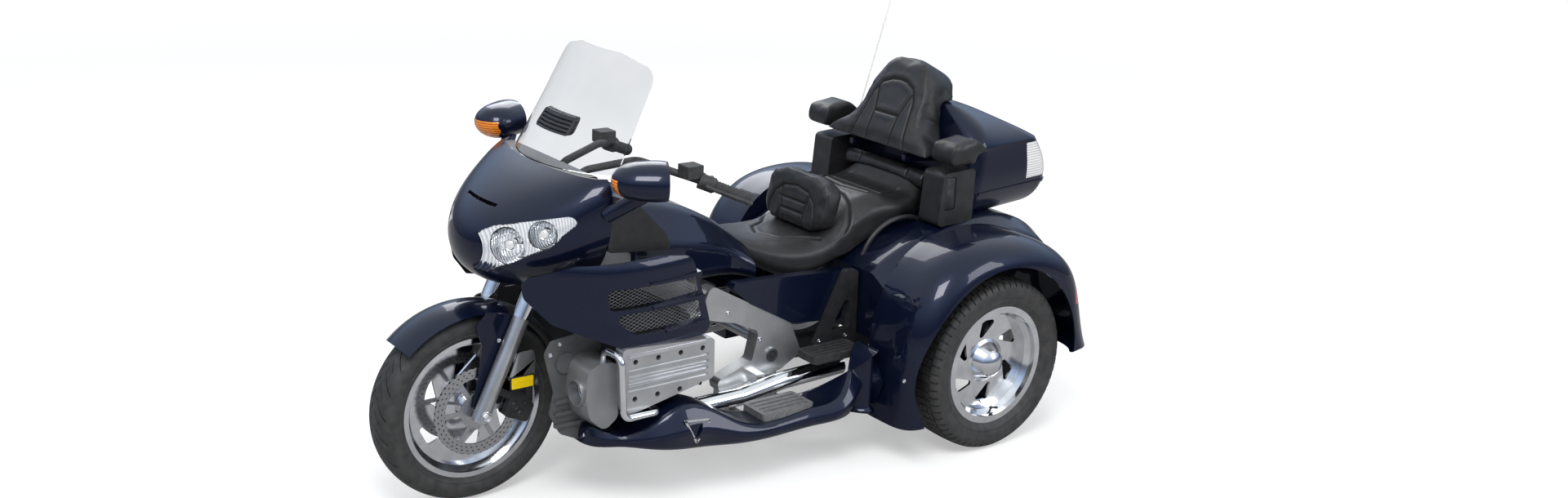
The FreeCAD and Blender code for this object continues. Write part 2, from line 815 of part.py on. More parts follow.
# Engine guards: bright bars down the front corner of each bank and back under it
guard_radius = 11.0
guard_bend = 30.0
guard_set_back = 465.0
guard_length = 162.0
guard_inner = 345.0
guard_reach = 95.0
guard_low = 345.0
guard_height = 217.0
guard_shares = [(1.0, 0.0, 0.71), (1.0, 0.05, 1.0), (0.94, 1.0, 1.0), (0.86, 1.0, 0.03), (0.0, 0.9, 0.0),
                (0.0, 0.0, 0.0), (0.0, 0.0, 0.3)]


def engine_guard(cowl, engine):
    lows = (wheelbase - guard_set_back, guard_inner, guard_low)
    places = rows(guard_shares, lows, (guard_length, guard_reach, guard_height))
    bar = bent_bar([Vector(*place) for place in places], guard_radius, guard_bend)
    return bar.cut(cowl).cut(engine)


# Nose fairing: a hollow bow from side to side, with the lamps let into it
nose_set_back = 325.0
nose_low = 740.0
nose_height = 365.0
nose_depth = 350.0
nose_half = 352.0
nose_shares = [(0.0, 0.76, 0.55), (0.14, 0.94, 0.73), (0.3, 1.0, 0.87), (0.49, 0.96, 0.96),
               (0.71, 0.78, 1.0), (0.88, 0.52, 0.99), (1.0, 0.25, 0.91)]
nose_wall = 5.0
lamp_depth = 60.0
lamp_lens = 4.0
bow_steps = 8
lamp_corner = 22.0
lamp_inner = 26.0
lamp_low = 790.0
lamp_width = 302.0
lamp_height = 213.0
lamp_shares = [(0.0, 0.26), (0.13, 0.56), (0.37, 0.76), (0.96, 1.0), (1.0, 0.89), (0.86, 0.52),
               (0.55, 0.23), (0.24, 0.0), (0.05, 0.04)]
brow_low_share = 0.70
brow_width = 190.0
brow_height = 9.0

nose_back = wheelbase - nose_set_back
nose_top = nose_low + nose_height


def bow(x_nose, half, z, inset):
    """A half ellipse with a straight back, at one height."""
    points = []
    for step in range(bow_steps + 1):
        angle = math.radians(full_turn / 2 * step / bow_steps)
        points.append(Vector(nose_back - inset + (x_nose - nose_back) * math.sin(angle),
                             (half - inset) * math.cos(angle), z))
    curve = Part.BSplineCurve()
    curve.interpolate(points)
    return Part.Wire([curve.toShape(), Part.LineSegment(points[-1], points[0]).toShape()])


def nose_solid(inset):
    levels = rows(nose_shares, (nose_low, nose_back, 0), (nose_height, nose_depth, nose_half))
    return loft([bow(nose, half, z, inset) for z, nose, half in levels])


def lamp_prism(inset):
    """The lamp's outline in the front view, pushed through the nose."""
    places = spread(lamp_shares, (lamp_inner, lamp_low), (lamp_width, lamp_height))
    wire = rounded_wire(in_front_view(places, nose_back), lamp_corner)
    if inset:
        wire = wire.makeOffset2D(-inset)
    return prism(wire, Vector(wheelbase - nose_back, 0, 0))


def nose_pieces():
    """The shell with its lamp windows and brow slot, the lamp glass and the lamp bowl."""
    outer = nose_solid(0)
    shell = outer.cut(nose_solid(nose_wall))
    back = block((nose_back - nose_depth, nose_back), (-half_width, half_width), (0, nose_top + nose_height))
    window = lamp_prism(0)
    slot_z = nose_low + nose_height * brow_low_share
    slot = block((nose_back + nose_depth / 2, wheelbase + nose_depth), (-brow_width / 2, brow_width / 2),
                 (slot_z, slot_z + brow_height))
    shell = shell.cut(Part.makeCompound([back, window, mirrored(window)])).cut(slot)
    band = lamp_prism(seam)
    lens = outer.cut(nose_solid(lamp_lens)).common(band).cut(back)
    bowl = nose_solid(lamp_lens + seam).cut(nose_solid(lamp_depth)).common(band).cut(back)
    return shell, lens, bowl


# Windscreen: a tall curved sheet on the nose, with a louvred vent let into it
screen_set_back = 237.0
screen_lean = 240.0
screen_height = 345.0
screen_arch = 30.0
screen_arch_share = 0.5
screen_base_half = 305.0
screen_top_half = 272.0
screen_base_sag = 125.0
screen_top_sag = 62.0
screen_wall = 5.0
screen_corner = 70.0
vent_low = 90.0
vent_height = 56.0
vent_half = 106.0
vent_shares = [(-1.0, 0.0), (1.0, 0.0), (0.92, 1.0), (-0.92, 1.0)]
vent_stand = 5.0
vent_depth = 18.0
vent_corner = 14.0
vent_slots = 4
vent_slot_share = 0.5
vent_slot_half = 90.0

screen_x = wheelbase - screen_set_back


def screen_arc(x, z, half, sag, wall):
    """A thin bowed band at one height."""
    back = x - sag
    outer = Part.Arc(Vector(back, -half, z), Vector(x, 0, z), Vector(back, half, z)).toShape()
    inner = Part.Arc(Vector(back - wall, half, z), Vector(x - wall, 0, z), Vector(back - wall, -half, z))
    right = Part.LineSegment(Vector(back, half, z), Vector(back - wall, half, z))
    left = Part.LineSegment(Vector(back - wall, -half, z), Vector(back, -half, z))
    return Part.Wire([outer, right.toShape(), inner.toShape(), left.toShape()])


def screen_band(stand, wall):
    """The screen's bowed sheet, set forward by a stand and of any wall."""
    base = screen_arc(screen_x + stand, nose_top + seam, screen_base_half, screen_base_sag, wall)
    top = screen_arc(screen_x - screen_lean + stand, nose_top + screen_height, screen_top_half,
                     screen_top_sag, wall)
    return loft([base, top], True)


def windscreen():
    """The clear sheet with its rounded top corners, and the vent in its window."""
    wide = screen_base_half + overrun
    low = nose_top - overrun
    narrow = screen_top_half - seam
    high = nose_top + screen_height
    shoulder = high - screen_arch
    peak = narrow * screen_arch_share
    places = [(-wide, low), (wide, low), (narrow, shoulder), (peak, high), (-peak, high), (-narrow, shoulder)]
    outline = front_prism(places, nose_back - nose_depth, wheelbase, screen_corner)
    vent_places = spread(vent_shares, (0, nose_top + vent_low), (vent_half, vent_height))
    window = front_prism(vent_places, nose_back - nose_depth, wheelbase, vent_corner)
    vent = screen_band(vent_stand, vent_depth).common(window)
    slots = []
    pitch = vent_height / (vent_slots + 1)
    for index in range(vent_slots):
        z = nose_top + vent_low + pitch * (index + vent_slot_share)
        slots.append(block((nose_back - nose_depth, wheelbase), (-vent_slot_half, vent_slot_half),
                           (z, z + pitch * vent_slot_share)))
    deep = screen_band(vent_stand + overrun, overrun + vent_depth / 2)
    vent = vent.cut(Part.makeCompound(slots).common(deep))
    return screen_band(0, screen_wall).common(outline).cut(window), vent


# Mirrors: teardrop shells open behind, each on a foot at the fairing's corner
mirror_set_back = 370.0
mirror_y = 462.0
mirror_z = 1128.0
mirror_length = 170.0
mirror_half_width = 82.0
mirror_half_height = 62.0
mirror_wall = 4.0
mirror_turn = 28.0
mirror_glass_inset = 14.0
mirror_glass_wall = 4.0
mirror_foot_radius = 24.0
mirror_foot_shares = (0.3, 0.8)
mirror_foot_level_share = 0.71
mirror_back_share = 0.40
mirror_ring_shares = [(0.0, 0.95), (0.3, 1.0), (0.6, 0.93), (0.82, 0.74), (0.94, 0.48), (1.0, 0.18)]
signal_back_share = 0.25
signal_top_share = 0.2

mirror_middle = Vector(wheelbase - mirror_set_back, mirror_y, mirror_z)


def mirror_egg(inset):
    """A teardrop skinned over upright ellipses, its round end forward."""
    rings = []
    for along, size in mirror_ring_shares:
        place = mirror_middle + Vector(mirror_length * (along - mirror_back_share) - inset * along, 0, 0)
        across = (mirror_half_width - inset) * size
        up = (mirror_half_height - inset) * size
        ring = Part.Ellipse(place + Vector(0, across, 0), place + Vector(0, 0, up), place)
        rings.append(Part.Wire([ring.toShape()]))
    egg = loft(rings)
    egg.rotate(mirror_middle, along_z, -mirror_turn)
    return egg


def mirror_pieces(cockpit):
    """The painted shell on its foot, the glass and the amber signal in the shell's front."""
    x, y, z = mirror_middle
    back = x - mirror_length * mirror_back_share
    across = (y - mirror_length, y + mirror_length)
    tall = (z - mirror_length, z + mirror_length)
    behind = block((x - mirror_length, back), across, tall)
    outer = mirror_egg(0)
    inner = mirror_egg(mirror_wall)
    foot_top = Vector(x - overrun, y - mirror_half_width * mirror_foot_shares[0],
                      z - mirror_half_height * mirror_foot_shares[1])
    foot_low = Vector(nose_back + overrun, nose_half - nose_wall,
                      nose_low + nose_height * mirror_foot_level_share)
    foot = rod(foot_top, foot_low, mirror_foot_radius).cut(nose_solid(0)).cut(inner).cut(cockpit)
    shell = fused([outer.cut(inner), foot]).cut(behind)
    glass_x = back + mirror_glass_inset
    slab = block((glass_x, glass_x + mirror_glass_wall), across, tall)
    glass = slab.common(mirror_egg(mirror_wall + seam))
    lens_box = block((x + mirror_length * signal_back_share, x + mirror_length),
                     (y - mirror_half_width, y - seam),
                     (z - mirror_half_height, z + mirror_half_height * signal_top_share))
    lens = outer.cut(inner).common(lens_box)
    return shell.cut(lens_box), glass, lens


# Side cowls: bowed panels from the nose to the knees, with three fins over a diamond mesh
cowl_wall = 4.0
cowl_set_back = 697.0
cowl_length = 632.0
cowl_low = 552.0
cowl_height = 310.0
cowl_shares = [(1.0, 0.8), (0.78, 0.96), (0.37, 1.0), (0.17, 0.94), (0.05, 0.41), (0.0, 0.0),
               (0.56, 0.07), (0.87, 0.33), (0.98, 0.59)]
cowl_outline_corner = 40.0
cowl_plan_half = 408.0
cowl_plan_shares = [(-0.04, 0.91), (0.21, 0.98), (0.45, 1.0), (0.65, 0.95), (0.84, 0.77), (1.03, 0.55)]
cowl_bulge = 30.0
cowl_level_shares = [(-0.1, -0.73), (0.28, -0.13), (0.67, 0.07), (0.86, 0.27), (1.06, -1.0)]
fin_shares = [(0.73, 0.1, 0.68), (0.45, 0.06, 0.66), (0.17, 0.04, 0.53)]
fin_height = 16.0
fin_depth = 34.0
fin_stand = 6.0
fin_corner = 4.0
window_inset = 20.0
window_corner = 18.0
mesh_depth = 30.0
mesh_wall = 2.0
mesh_pitch = 21.0
mesh_bar = 3.2
mesh_rise_share = 0.55

cowl_rear = wheelbase - cowl_set_back


def cowl_skin(shift):
    """A solid whose outer face is the cowl's bowed surface."""
    plan = spread(cowl_plan_shares, (cowl_rear, 0), (cowl_length, cowl_plan_half))
    wires = []
    for z, lift in spread(cowl_level_shares, (cowl_low, 0), (cowl_height, cowl_bulge)):
        curve = Part.BSplineCurve()
        points = [Vector(x, y + lift - shift, z) for x, y in plan]
        curve.interpolate(points)
        first = Vector(points[0].x, 0, z)
        last = Vector(points[-1].x, 0, z)
        edges = [curve.toShape()]
        for start, end in ((points[-1], last), (last, first), (first, points[0])):
            edges.append(Part.LineSegment(start, end).toShape())
        wires.append(Part.Wire(edges))
    return loft(wires)


def fin_rows():
    """Height, rear end and front end of each fin."""
    return rows(fin_shares, (cowl_low, cowl_rear, cowl_rear), (cowl_height, cowl_length, cowl_length))


def cowl_window(upper, lower, inset):
    """The window between two fins."""
    high = upper[0] - fin_height / 2
    low = lower[0] + fin_height / 2
    places = [(upper[1] + inset, high), (upper[2] - inset, high), (lower[2] - inset, low),
              (lower[1] + inset, low)]
    return side_plate(places, 0, half_width, window_corner)


def mesh_holes(upper, lower):
    """Rows of diamond holes across one window, every other row half a pitch on."""
    holes = []
    rise = mesh_pitch * mesh_rise_share
    half = (mesh_pitch - mesh_bar) / 2
    tall = half * mesh_rise_share
    low = lower[0] + fin_height / 2
    count_up = int((upper[0] - lower[0]) / (rise / 2))
    count_along = int((upper[2] - upper[1]) / mesh_pitch)
    for row in range(count_up):
        z = low + row * rise / 2
        for column in range(count_along):
            x = upper[1] + mesh_pitch * (column + (row % 2) / 2)
            corners = [Vector(x - half, 0, z), Vector(x, 0, z + tall), Vector(x + half, 0, z),
                       Vector(x, 0, z - tall)]
            wire = Part.makePolygon(corners + corners[:1])
            holes.append(prism(wire, Vector(0, half_width, 0)))
    return Part.makeCompound(holes)


def side_cowl(valves):
    """The left panel with its fins, and the meshes behind its windows."""
    places = spread(cowl_shares, (cowl_rear, cowl_low), (cowl_length, cowl_height))
    outline = side_plate(places, 0, half_width, cowl_outline_corner)
    panel = cowl_skin(0).cut(cowl_skin(cowl_wall)).common(outline)
    band = cowl_skin(-fin_stand).cut(cowl_skin(fin_depth))
    fins = []
    for z, x_back, x_front in fin_rows():
        places = [(x_back, z - fin_height / 2), (x_front, z), (x_back, z + fin_height / 2)]
        fins.append(side_plate(places, 0, half_width, fin_corner).common(band))
    layer = cowl_skin(mesh_depth - mesh_wall).cut(cowl_skin(mesh_depth))
    meshes = []
    for upper, lower in zip(fin_rows(), fin_rows()[1:]):
        panel = panel.cut(cowl_window(upper, lower, window_inset))
        sheet = layer.common(cowl_window(upper, lower, 0))
        meshes.append(sheet.cut(mesh_holes(upper, lower)))
    return fused([panel] + fins).cut(valves), Part.makeCompound(meshes)


# Inner fairing: the cockpit panels between the nose and the tank cover
dash_length = 85.0
dash_depth = 54.0
dash_shares = [(0.0, 1.0), (1.0, 1.0), (0.85, 0.0), (0.18, 0.0)]
dash_half = 270.0
knee_panel_length = 235.0
knee_panel_low = 850.0
knee_panel_height = 210.0
knee_panel_shares = [(1.0, 1.0), (1.0, 0.1), (0.0, 0.0), (0.09, 0.26), (0.53, 0.76)]
knee_panel_inner = 284.0
knee_panel_outer = 332.0
dash_link_length = 30.0
dash_link_low = 1030.0
dash_link_height = 45.0
inner_corner = 12.0


def inner_fairing():
    dash = spread(dash_shares, (nose_back, nose_top - dash_depth - seam), (dash_length, dash_depth))
    knee = spread(knee_panel_shares, (nose_back - knee_panel_length, knee_panel_low),
                  (knee_panel_length, knee_panel_height))
    side = side_plate(knee, knee_panel_inner, knee_panel_outer, inner_corner)
    link = block((nose_back, nose_back + dash_link_length), (dash_half - overrun, knee_panel_outer),
                 (dash_link_low, dash_link_low + dash_link_height))
    whole = fused([side_plate(dash, -dash_half, dash_half, inner_corner), side, mirrored(side), link,
                   mirrored(link)])
    ahead = block((nose_back, wheelbase), (-half_width, half_width), (0, wheelbase))
    return whole.cut(ahead.cut(nose_solid(nose_wall + seam))).cut(tank_solid(0))


def make_front(board, tank):
    frame = frame_spars(board, tank)
    save("frame_spars", frame)
    engine = engine_block()
    save("engine_block", engine)
    valves = valve_cover()
    save("valve_covers", both_sides(valves))
    cowl = lower_cowl()
    save("front_cowls", both_sides(cowl))
    save("wheel_shields", both_sides(wheel_shield(cowl, board)))
    save("engine_guards", both_sides(engine_guard(cowl, engine)))
    shell, lens, bowl = nose_pieces()
    save("nose_fairing", shell)
    save("headlamp_lenses", both_sides(lens))
    save("headlamp_bowls", both_sides(bowl))
    screen, vent = windscreen()
    save("windscreen", screen)
    save("windscreen_vent", vent)
    cockpit = inner_fairing()
    save("inner_fairing", cockpit)
    shell, glass, lens = mirror_pieces(cockpit)
    save("mirrors", both_sides(shell))
    save("mirror_glasses", both_sides(glass))
    save("signal_lenses", both_sides(lens))
    panel, mesh = side_cowl(valves)
    save("side_cowls", both_sides(panel))
    save("cowl_meshes", both_sides(mesh))
    return frame


# Tank cover: a painted saddle from the cockpit to the seat's nose
tank_set_back = 995.0
tank_length = 560.0
tank_half = 290.0
tank_low = 640.0
tank_height = 335.0
tank_shares = [(1.0, 1.0, 0.36, 1.0), (0.77, 0.9, 0.18, 0.97), (0.5, 0.8, 0.09, 0.85),
               (0.23, 0.66, 0.06, 0.63), (0.0, 0.71, 0.0, 0.31)]
tank_corner = 60.0
tank_waist_share = 0.55
tank_wall = 4.0
tank_top_share = 0.62

tank_rear = wheelbase - tank_set_back


def tank_section(x, half, low, high, inset):
    waist = low + (high - low) * tank_waist_share
    half -= inset
    high -= inset
    top = half * tank_top_share
    foot = low - inset
    corners = [(-half, foot), (-half, waist), (-top, high), (top, high), (half, waist), (half, foot)]
    return rounded_wire(in_front_view(corners, x), tank_corner)


def tank_solid(inset):
    lows = (tank_rear, 0, tank_low, tank_low)
    stations = rows(tank_shares, lows, (tank_length, tank_half, tank_height, tank_height))
    return loft([tank_section(*station, inset) for station in stations])


def tank_cover():
    return tank_solid(0).cut(tank_solid(tank_wall))


# Seat: a rider's bucket that rises to a wide passenger seat, and the rider's own backrest
seat_rear = -40.0
seat_set_back = 840.0
seat_half = 225.0
seat_low = 612.0
seat_height = 264.0
seat_shares = [(0.99, 0.27, 0.71, 0.92), (0.9, 0.47, 0.53, 0.76), (0.81, 0.73, 0.24, 0.55),
               (0.7, 0.91, 0.04, 0.47), (0.58, 0.96, 0.0, 0.45), (0.48, 0.96, 0.11, 0.53),
               (0.38, 0.94, 0.18, 0.82), (0.25, 0.99, 0.43, 0.96), (0.1, 1.0, 0.58, 1.0),
               (0.0, 0.89, 0.62, 0.97)]
seat_corner = 34.0
seat_round_share = 0.22
rest_place_share = 0.5
rest_half = 180.0
rest_low = 735.0
rest_height = 210.0
rest_depth = 78.0
rest_lean = 14.0
rest_corner = 90.0
rest_shares = [(-1.0, 0.0), (-1.0, 0.86), (-0.5, 1.0), (0.5, 1.0), (1.0, 0.86), (1.0, 0.0)]

seat_length = wheelbase - seat_set_back - seat_rear


def seat_section(x, half, low, high):
    inset = (high - low) * seat_round_share
    edge = high - inset
    top = half - inset - inset
    corners = [(-half, low), (-half, edge), (-top, high), (top, high), (half, edge), (half, low)]
    return rounded_wire(in_front_view(corners, x), seat_corner)


def seat(body):
    lows = (seat_rear, 0, seat_low, seat_low)
    stations = rows(seat_shares, lows, (seat_length, seat_half, seat_height, seat_height))
    cushion = loft([seat_section(*station) for station in stations])
    return cushion.cut(tank_solid(-seam)).cut(body)


def rider_backrest():
    places = spread(rest_shares, (0, rest_low), (rest_half, rest_height))
    pad = front_prism(places, -rest_depth / 2, rest_depth / 2, rest_corner)
    pad.rotate(Vector(0, 0, rest_low), along_y, -rest_lean)
    pad.translate(Vector(seat_rear + rest_place_share * seat_length, 0, 0))
    return pad


# Side covers under the seat, and the black brackets behind them that carry the passenger boards
side_cover_rear = 373.0
side_cover_set_back = 830.0
side_cover_low = 452.0
side_cover_height = 213.0
side_cover_shares = [(1.0, 1.0), (0.48, 0.93), (0.0, 0.85), (0.09, 0.0), (0.48, 0.11), (0.81, 0.59)]
side_cover_inner = 222.0
side_cover_outer = 262.0
side_cover_corner = 16.0
bracket_rear = 368.0
bracket_length = 192.0
bracket_low = 366.0
bracket_height = 279.0
bracket_shares = [(0.32, 1.0), (0.04, 0.98), (0.0, 0.0), (1.0, 0.02)]
bracket_window_shares = [(0.23, 0.7), (0.16, 0.21), (0.66, 0.22)]
bracket_wall = 28.0
bracket_corner = 14.0
passenger_board_rear = 420.0
passenger_board_length = 220.0
passenger_board_low = 362.0
passenger_board_height = 26.0
passenger_board_reach = 108.0
passenger_board_corner = 16.0
tread_rib_count = 5
tread_rib_height = 4.0
tread_rib_share = 0.5

bracket_outer = side_cover_outer + bracket_wall
side_cover_length = wheelbase - side_cover_set_back - side_cover_rear


def side_cover(frame):
    size = (side_cover_length, side_cover_height)
    places = spread(side_cover_shares, (side_cover_rear, side_cover_low), size)
    return side_plate(places, side_cover_inner, side_cover_outer, side_cover_corner).cut(frame)


def rear_bracket():
    corner = (bracket_rear, bracket_low)
    size = (bracket_length, bracket_height)
    plate = side_plate(spread(bracket_shares, corner, size), side_cover_outer, bracket_outer, bracket_corner)
    window = side_plate(spread(bracket_window_shares, corner, size), side_cover_outer - overrun,
                        bracket_outer + overrun, bracket_corner)
    return plate.cut(window)


def ribbed_pad(x, y, low, high, corner):
    """A flat pad with rounded corners and ribs along it."""
    places = [(x[0], y[0]), (x[1], y[0]), (x[1], y[1]), (x[0], y[1])]
    pad = prism(rounded_wire(in_top_view(places, low), corner), Vector(0, 0, high - low))
    pitch = (y[1] - y[0]) / tread_rib_count
    grooves = []
    for index in range(1, tread_rib_count):
        start = y[0] + pitch * index - pitch * tread_rib_share / 2
        grooves.append(block((x[0] + corner, x[1] - corner), (start, start + pitch * tread_rib_share),
                             (high - tread_rib_height, high + overrun)))
    return pad.cut(Part.makeCompound(grooves))


def passenger_board():
    return ribbed_pad((passenger_board_rear, passenger_board_rear + passenger_board_length),
                      (bracket_outer, bracket_outer + passenger_board_reach), passenger_board_low,
                      passenger_board_low + passenger_board_height, passenger_board_corner)


# Running boards: long painted boards that swell into a cowl below the engine, each with a
# three-cornered recess in its crest and a ribbed mat
board_rear = 440.0
board_set_back = 265.0
board_inner = 340.0
board_outer = 535.0
board_low = 184.0
board_height = 216.0
board_shares = [(1.0, 0.63, 0.5, 0.19, 0.31), (0.92, 0.66, 0.72, 0.19, 0.39),
                (0.84, 0.76, 0.85, 0.16, 0.55), (0.75, 0.88, 0.92, 0.1, 0.78),
                (0.65, 0.99, 0.93, 0.05, 0.7), (0.55, 1.0, 0.95, 0.02, 0.41),
                (0.45, 1.0, 0.95, 0.0, 0.26), (0.25, 1.0, 0.96, 0.01, 0.31),
                (0.11, 1.24, 0.98, 0.05, 0.65), (0.0, 1.26, 1.0, 0.1, 1.0)]
board_corner = 26.0
board_top_share = 0.3
board_foot_share = 0.2
recess_shares = [(0.75, 0.61), (0.68, 0.57), (0.71, 0.24)]
recess_depth = 16.0
recess_corner = 12.0
mat_rear_share = 0.24
mat_length = 215.0
mat_inner = 345.0
mat_width = 130.0
mat_low = 236.0
mat_height = 26.0

board_length = wheelbase - board_set_back - board_rear


def board_section(x, y_in, y_out, low, high):
    tall = high - low
    corners = [(y_in, low), (y_in, high), (y_out - tall * board_top_share, high), (y_out, (low + high) / 2),
               (y_out - tall * board_foot_share, low)]
    return rounded_wire(in_front_view(corners, x), board_corner)


def running_board():
    lows = (board_rear, 0, 0, board_low, board_low)
    stations = rows(board_shares, lows, (board_length, board_inner, board_outer, board_height, board_height))
    board = loft([board_section(*station) for station in stations])
    places = spread(recess_shares, (board_rear, board_low), (board_length, board_height))
    return board.cut(side_plate(places, board_outer - recess_depth - recess_depth - overrun, half_width,
                                recess_corner))


def floor_mat(board):
    rear = board_rear + mat_rear_share * board_length
    mat = ribbed_pad((rear, rear + mat_length), (mat_inner, mat_inner + mat_width), mat_low,
                     mat_low + mat_height, passenger_board_corner)
    return mat.cut(board)


# Silencers below the frame, each hung from a side plate
exhaust_rear = 440.0
exhaust_set_back = 705.0
exhaust_y = 296.0
exhaust_low = 262.0
exhaust_rise = 30.0
exhaust_shares = [(1.0, 0.0), (0.71, 0.0), (0.42, 0.77), (0.0, 1.0)]
exhaust_radius = 32.0
exhaust_bend = 60.0
exhaust_bore_wall = 3.0
exhaust_bore_depth = 60.0
hanger_share = 0.35
hanger_length = 32.0
hanger_low = 290.0
hanger_height = 35.0


def exhaust():
    """A silencer with an open tip and the hanger that bolts it to the frame."""
    length = wheelbase - exhaust_set_back - exhaust_rear
    places = spread(exhaust_shares, (exhaust_rear, exhaust_low), (length, exhaust_rise))
    points = [Vector(x, exhaust_y, z) for x, z in places]
    start = spar_rear + spar_length * hanger_share
    hanger = block((start, start + hanger_length), (spar_outer, exhaust_y),
                   (hanger_low, hanger_low + hanger_height))
    back = points[-2] - points[-1]
    back.normalize()
    bore = rod(points[-1] - back * overrun, points[-1] + back * exhaust_bore_depth,
               exhaust_radius - exhaust_bore_wall)
    return fused([bent_bar(points, exhaust_radius, exhaust_bend), hanger]).cut(bore)


# Rear axle: a housing across the vehicle, arms to the frame and a stub in each wheel
axle_tube_radius = 38.0
axle_case_radius = 95.0
axle_case_half = 75.0
axle_case_chamfer = 18.0
arm_inner = 150.0
arm_wall = 50.0
arm_height = 70.0
arm_rear = -50.0
arm_rise = 15.0
arm_corner = 26.0


def rear_axle(frame):
    stub_end = track / 2 + rear_hub_outer - cap_height - seam
    tube_end = track / 2 - rear_hub_inner - seam
    tube = drum(0, rear_axle_height, axle_tube_radius, -tube_end, tube_end)
    stub = drum(0, rear_axle_height, rear_stub_radius, -stub_end, stub_end)
    small = axle_case_radius - axle_case_chamfer
    waist = axle_case_half - axle_case_chamfer
    outline = [(-axle_case_half, 0), (axle_case_half, 0), (axle_case_half, small), (waist, axle_case_radius),
               (-waist, axle_case_radius), (-axle_case_half, small)]
    case = turned(outline, 0, rear_axle_height)
    rear = rear_axle_height - arm_height / 2
    front = rear + arm_rise + arm_rise
    places = [(arm_rear, rear), (spar_rear, front), (spar_rear, front + arm_height),
              (arm_rear, rear + arm_height)]
    arm = side_plate(places, arm_inner, arm_inner + arm_wall, arm_corner).cut(frame)
    return fused([tube, stub, case, arm, mirrored(arm)])


# Rear body: a moulded body with a round-arched fender over each wheel
arch_x = 30.0
arch_z = 330.0
arch_radius = 375.0
fender_root = 434.0
fender_inner = 440.0
body_wall = 6.0
fender_rear = -470.0
fender_length = 902.0
fender_low = 150.0
fender_height = 640.0
fender_shares = [(0.99, 0.0), (1.0, 0.28), (0.98, 0.59), (0.91, 0.8), (0.79, 0.94), (0.62, 1.0),
                 (0.42, 0.99), (0.25, 0.91), (0.14, 0.79), (0.07, 0.58), (0.0, 0.28)]
fender_under_shares = [(0.08, 0.26), (0.3, 0.28), (0.74, 0.16), (0.89, 0.0)]
fender_roll = 95.0
fender_step_shares = [(0.0, 0.0), (0.47, 0.0), (0.72, 0.11), (0.88, 0.36), (0.97, 0.69), (1.0, 1.0)]
body_rear = -500.0
body_length = 865.0
body_half = 450.0
body_low = 380.0
body_height = 402.0
body_shares = [(1.0, 0.98, 0.05, 0.65), (0.81, 0.99, 0.05, 0.88), (0.58, 1.0, 0.0, 1.0),
               (0.29, 1.0, 0.0, 1.0), (0.09, 0.99, 0.0, 0.8), (0.0, 0.96, 0.05, 0.49)]
body_corner = 50.0
body_top_share = 0.8
tail_lamp_low = 500.0
tail_lamp_height = 165.0
tail_lamp_width = 100.0
tail_lamp_shares = [(0.0, 1.0), (1.0, 0.85), (1.0, 0.0), (0.45, 0.12)]
tail_lamp_wall = 12.0
tail_lamp_corner = 20.0


def fender_outline(y, inset):
    """The fender's side view at one distance out, drawn in toward the wheel."""
    centre = Vector(arch_x, y, arch_z)
    shares = fender_shares + fender_under_shares
    points = []
    for x, z in spread(shares, (fender_rear, fender_low), (fender_length, fender_height)):
        way = Vector(x, y, z) - centre
        points.append(centre + way * (1 - inset / way.Length))
    skin = Part.BSplineCurve()
    skin.interpolate(points[:len(fender_shares)])
    under = points[len(fender_shares) - 1:] + points[:1]
    edges = [skin.toShape()]
    for start, end in zip(under, under[1:]):
        edges.append(Part.LineSegment(start, end).toShape())
    return Part.Wire(edges)


def fender_solid(wall):
    """A fender from the body out to its lip, or its hollow when a wall is given."""
    steps = spread(fender_step_shares, (fender_root, 0), (half_width - fender_root, fender_roll))
    if wall:
        steps = [(y - wall, inset + wall) for y, inset in steps]
        steps[0] = (fender_inner, steps[0][1])
    return loft([fender_outline(y, inset) for y, inset in steps])


def body_solid(inset):
    """The body between the fenders, or its hollow when an inset is given."""
    lows = (body_rear, 0, body_low, body_low)
    sections = []
    for x, half, low, high in rows(body_shares, lows, (body_length, body_half, body_height, body_height)):
        x = x - inset if x > 0 else x + inset
        edge = half - inset
        shoulder = high - inset - body_corner
        top = half * body_top_share
        corners = [(-edge, low - inset), (-edge, shoulder), (-top, high - inset), (top, high - inset),
                   (edge, shoulder), (edge, low - inset)]
        sections.append(rounded_wire(in_front_view(corners, x), body_corner))
    return loft(sections)


def rear_body(trunk):
    """The hollow body with its fenders, and the tail lamp let into the left one."""
    fender = fender_solid(0)
    outer = fused([body_solid(0), fender, mirrored(fender)])
    hollow = fender_solid(body_wall)
    arch = drum(arch_x, arch_z, arch_radius, fender_inner, half_width + overrun)
    axle_way = drum(0, rear_axle_height, axle_tube_radius + overrun, -half_width, half_width)
    for cutter in (hollow, mirrored(hollow), arch, mirrored(arch), body_solid(body_wall), axle_way):
        outer = outer.cut(cutter)
    corner = (half_width - tail_lamp_width, tail_lamp_low)
    places = spread(tail_lamp_shares, corner, (tail_lamp_width, tail_lamp_height))
    lamp_way = front_prism(places, -half_width, -arch_z, tail_lamp_corner)
    lamp = fender.cut(fender_solid(tail_lamp_wall)).common(lamp_way)
    return outer.cut(lamp_way).cut(mirrored(lamp_way)).cut(trunk), lamp


# Trunk: a deep hollow base, with a domed lid that tips forward with the backrest
trunk_low = 778.0
trunk_height = 262.0
trunk_front = -60.0
trunk_length = 480.0
trunk_half = 366.0
trunk_shares = [(0.0, 0.01, 0.85, 0.82, 0.63), (0.08, -0.0, 0.95, 0.92, 0.73), (0.31, -0.0, 1.0, 0.99, 0.82),
                (0.68, 0.03, 0.98, 1.0, 0.84), (1.0, 0.06, 0.88, 0.99, 0.82)]
lid_height = 130.0
lid_shares = [(0.17, 0.07, 0.79, 0.97, 0.78), (0.42, 0.08, 0.65, 0.92, 0.66), (0.73, 0.09, 0.47, 0.79, 0.49),
              (1.0, 0.1, 0.27, 0.57, 0.32)]
trunk_corner = 62.0
trunk_wall = 5.0
trunk_rib_height = 10.0
trunk_rib_stand = 4.0
trunk_rib_share = 0.33
trunk_lamp_inner = 236.0
trunk_lamp_low = 893.0
trunk_lamp_height = 134.0
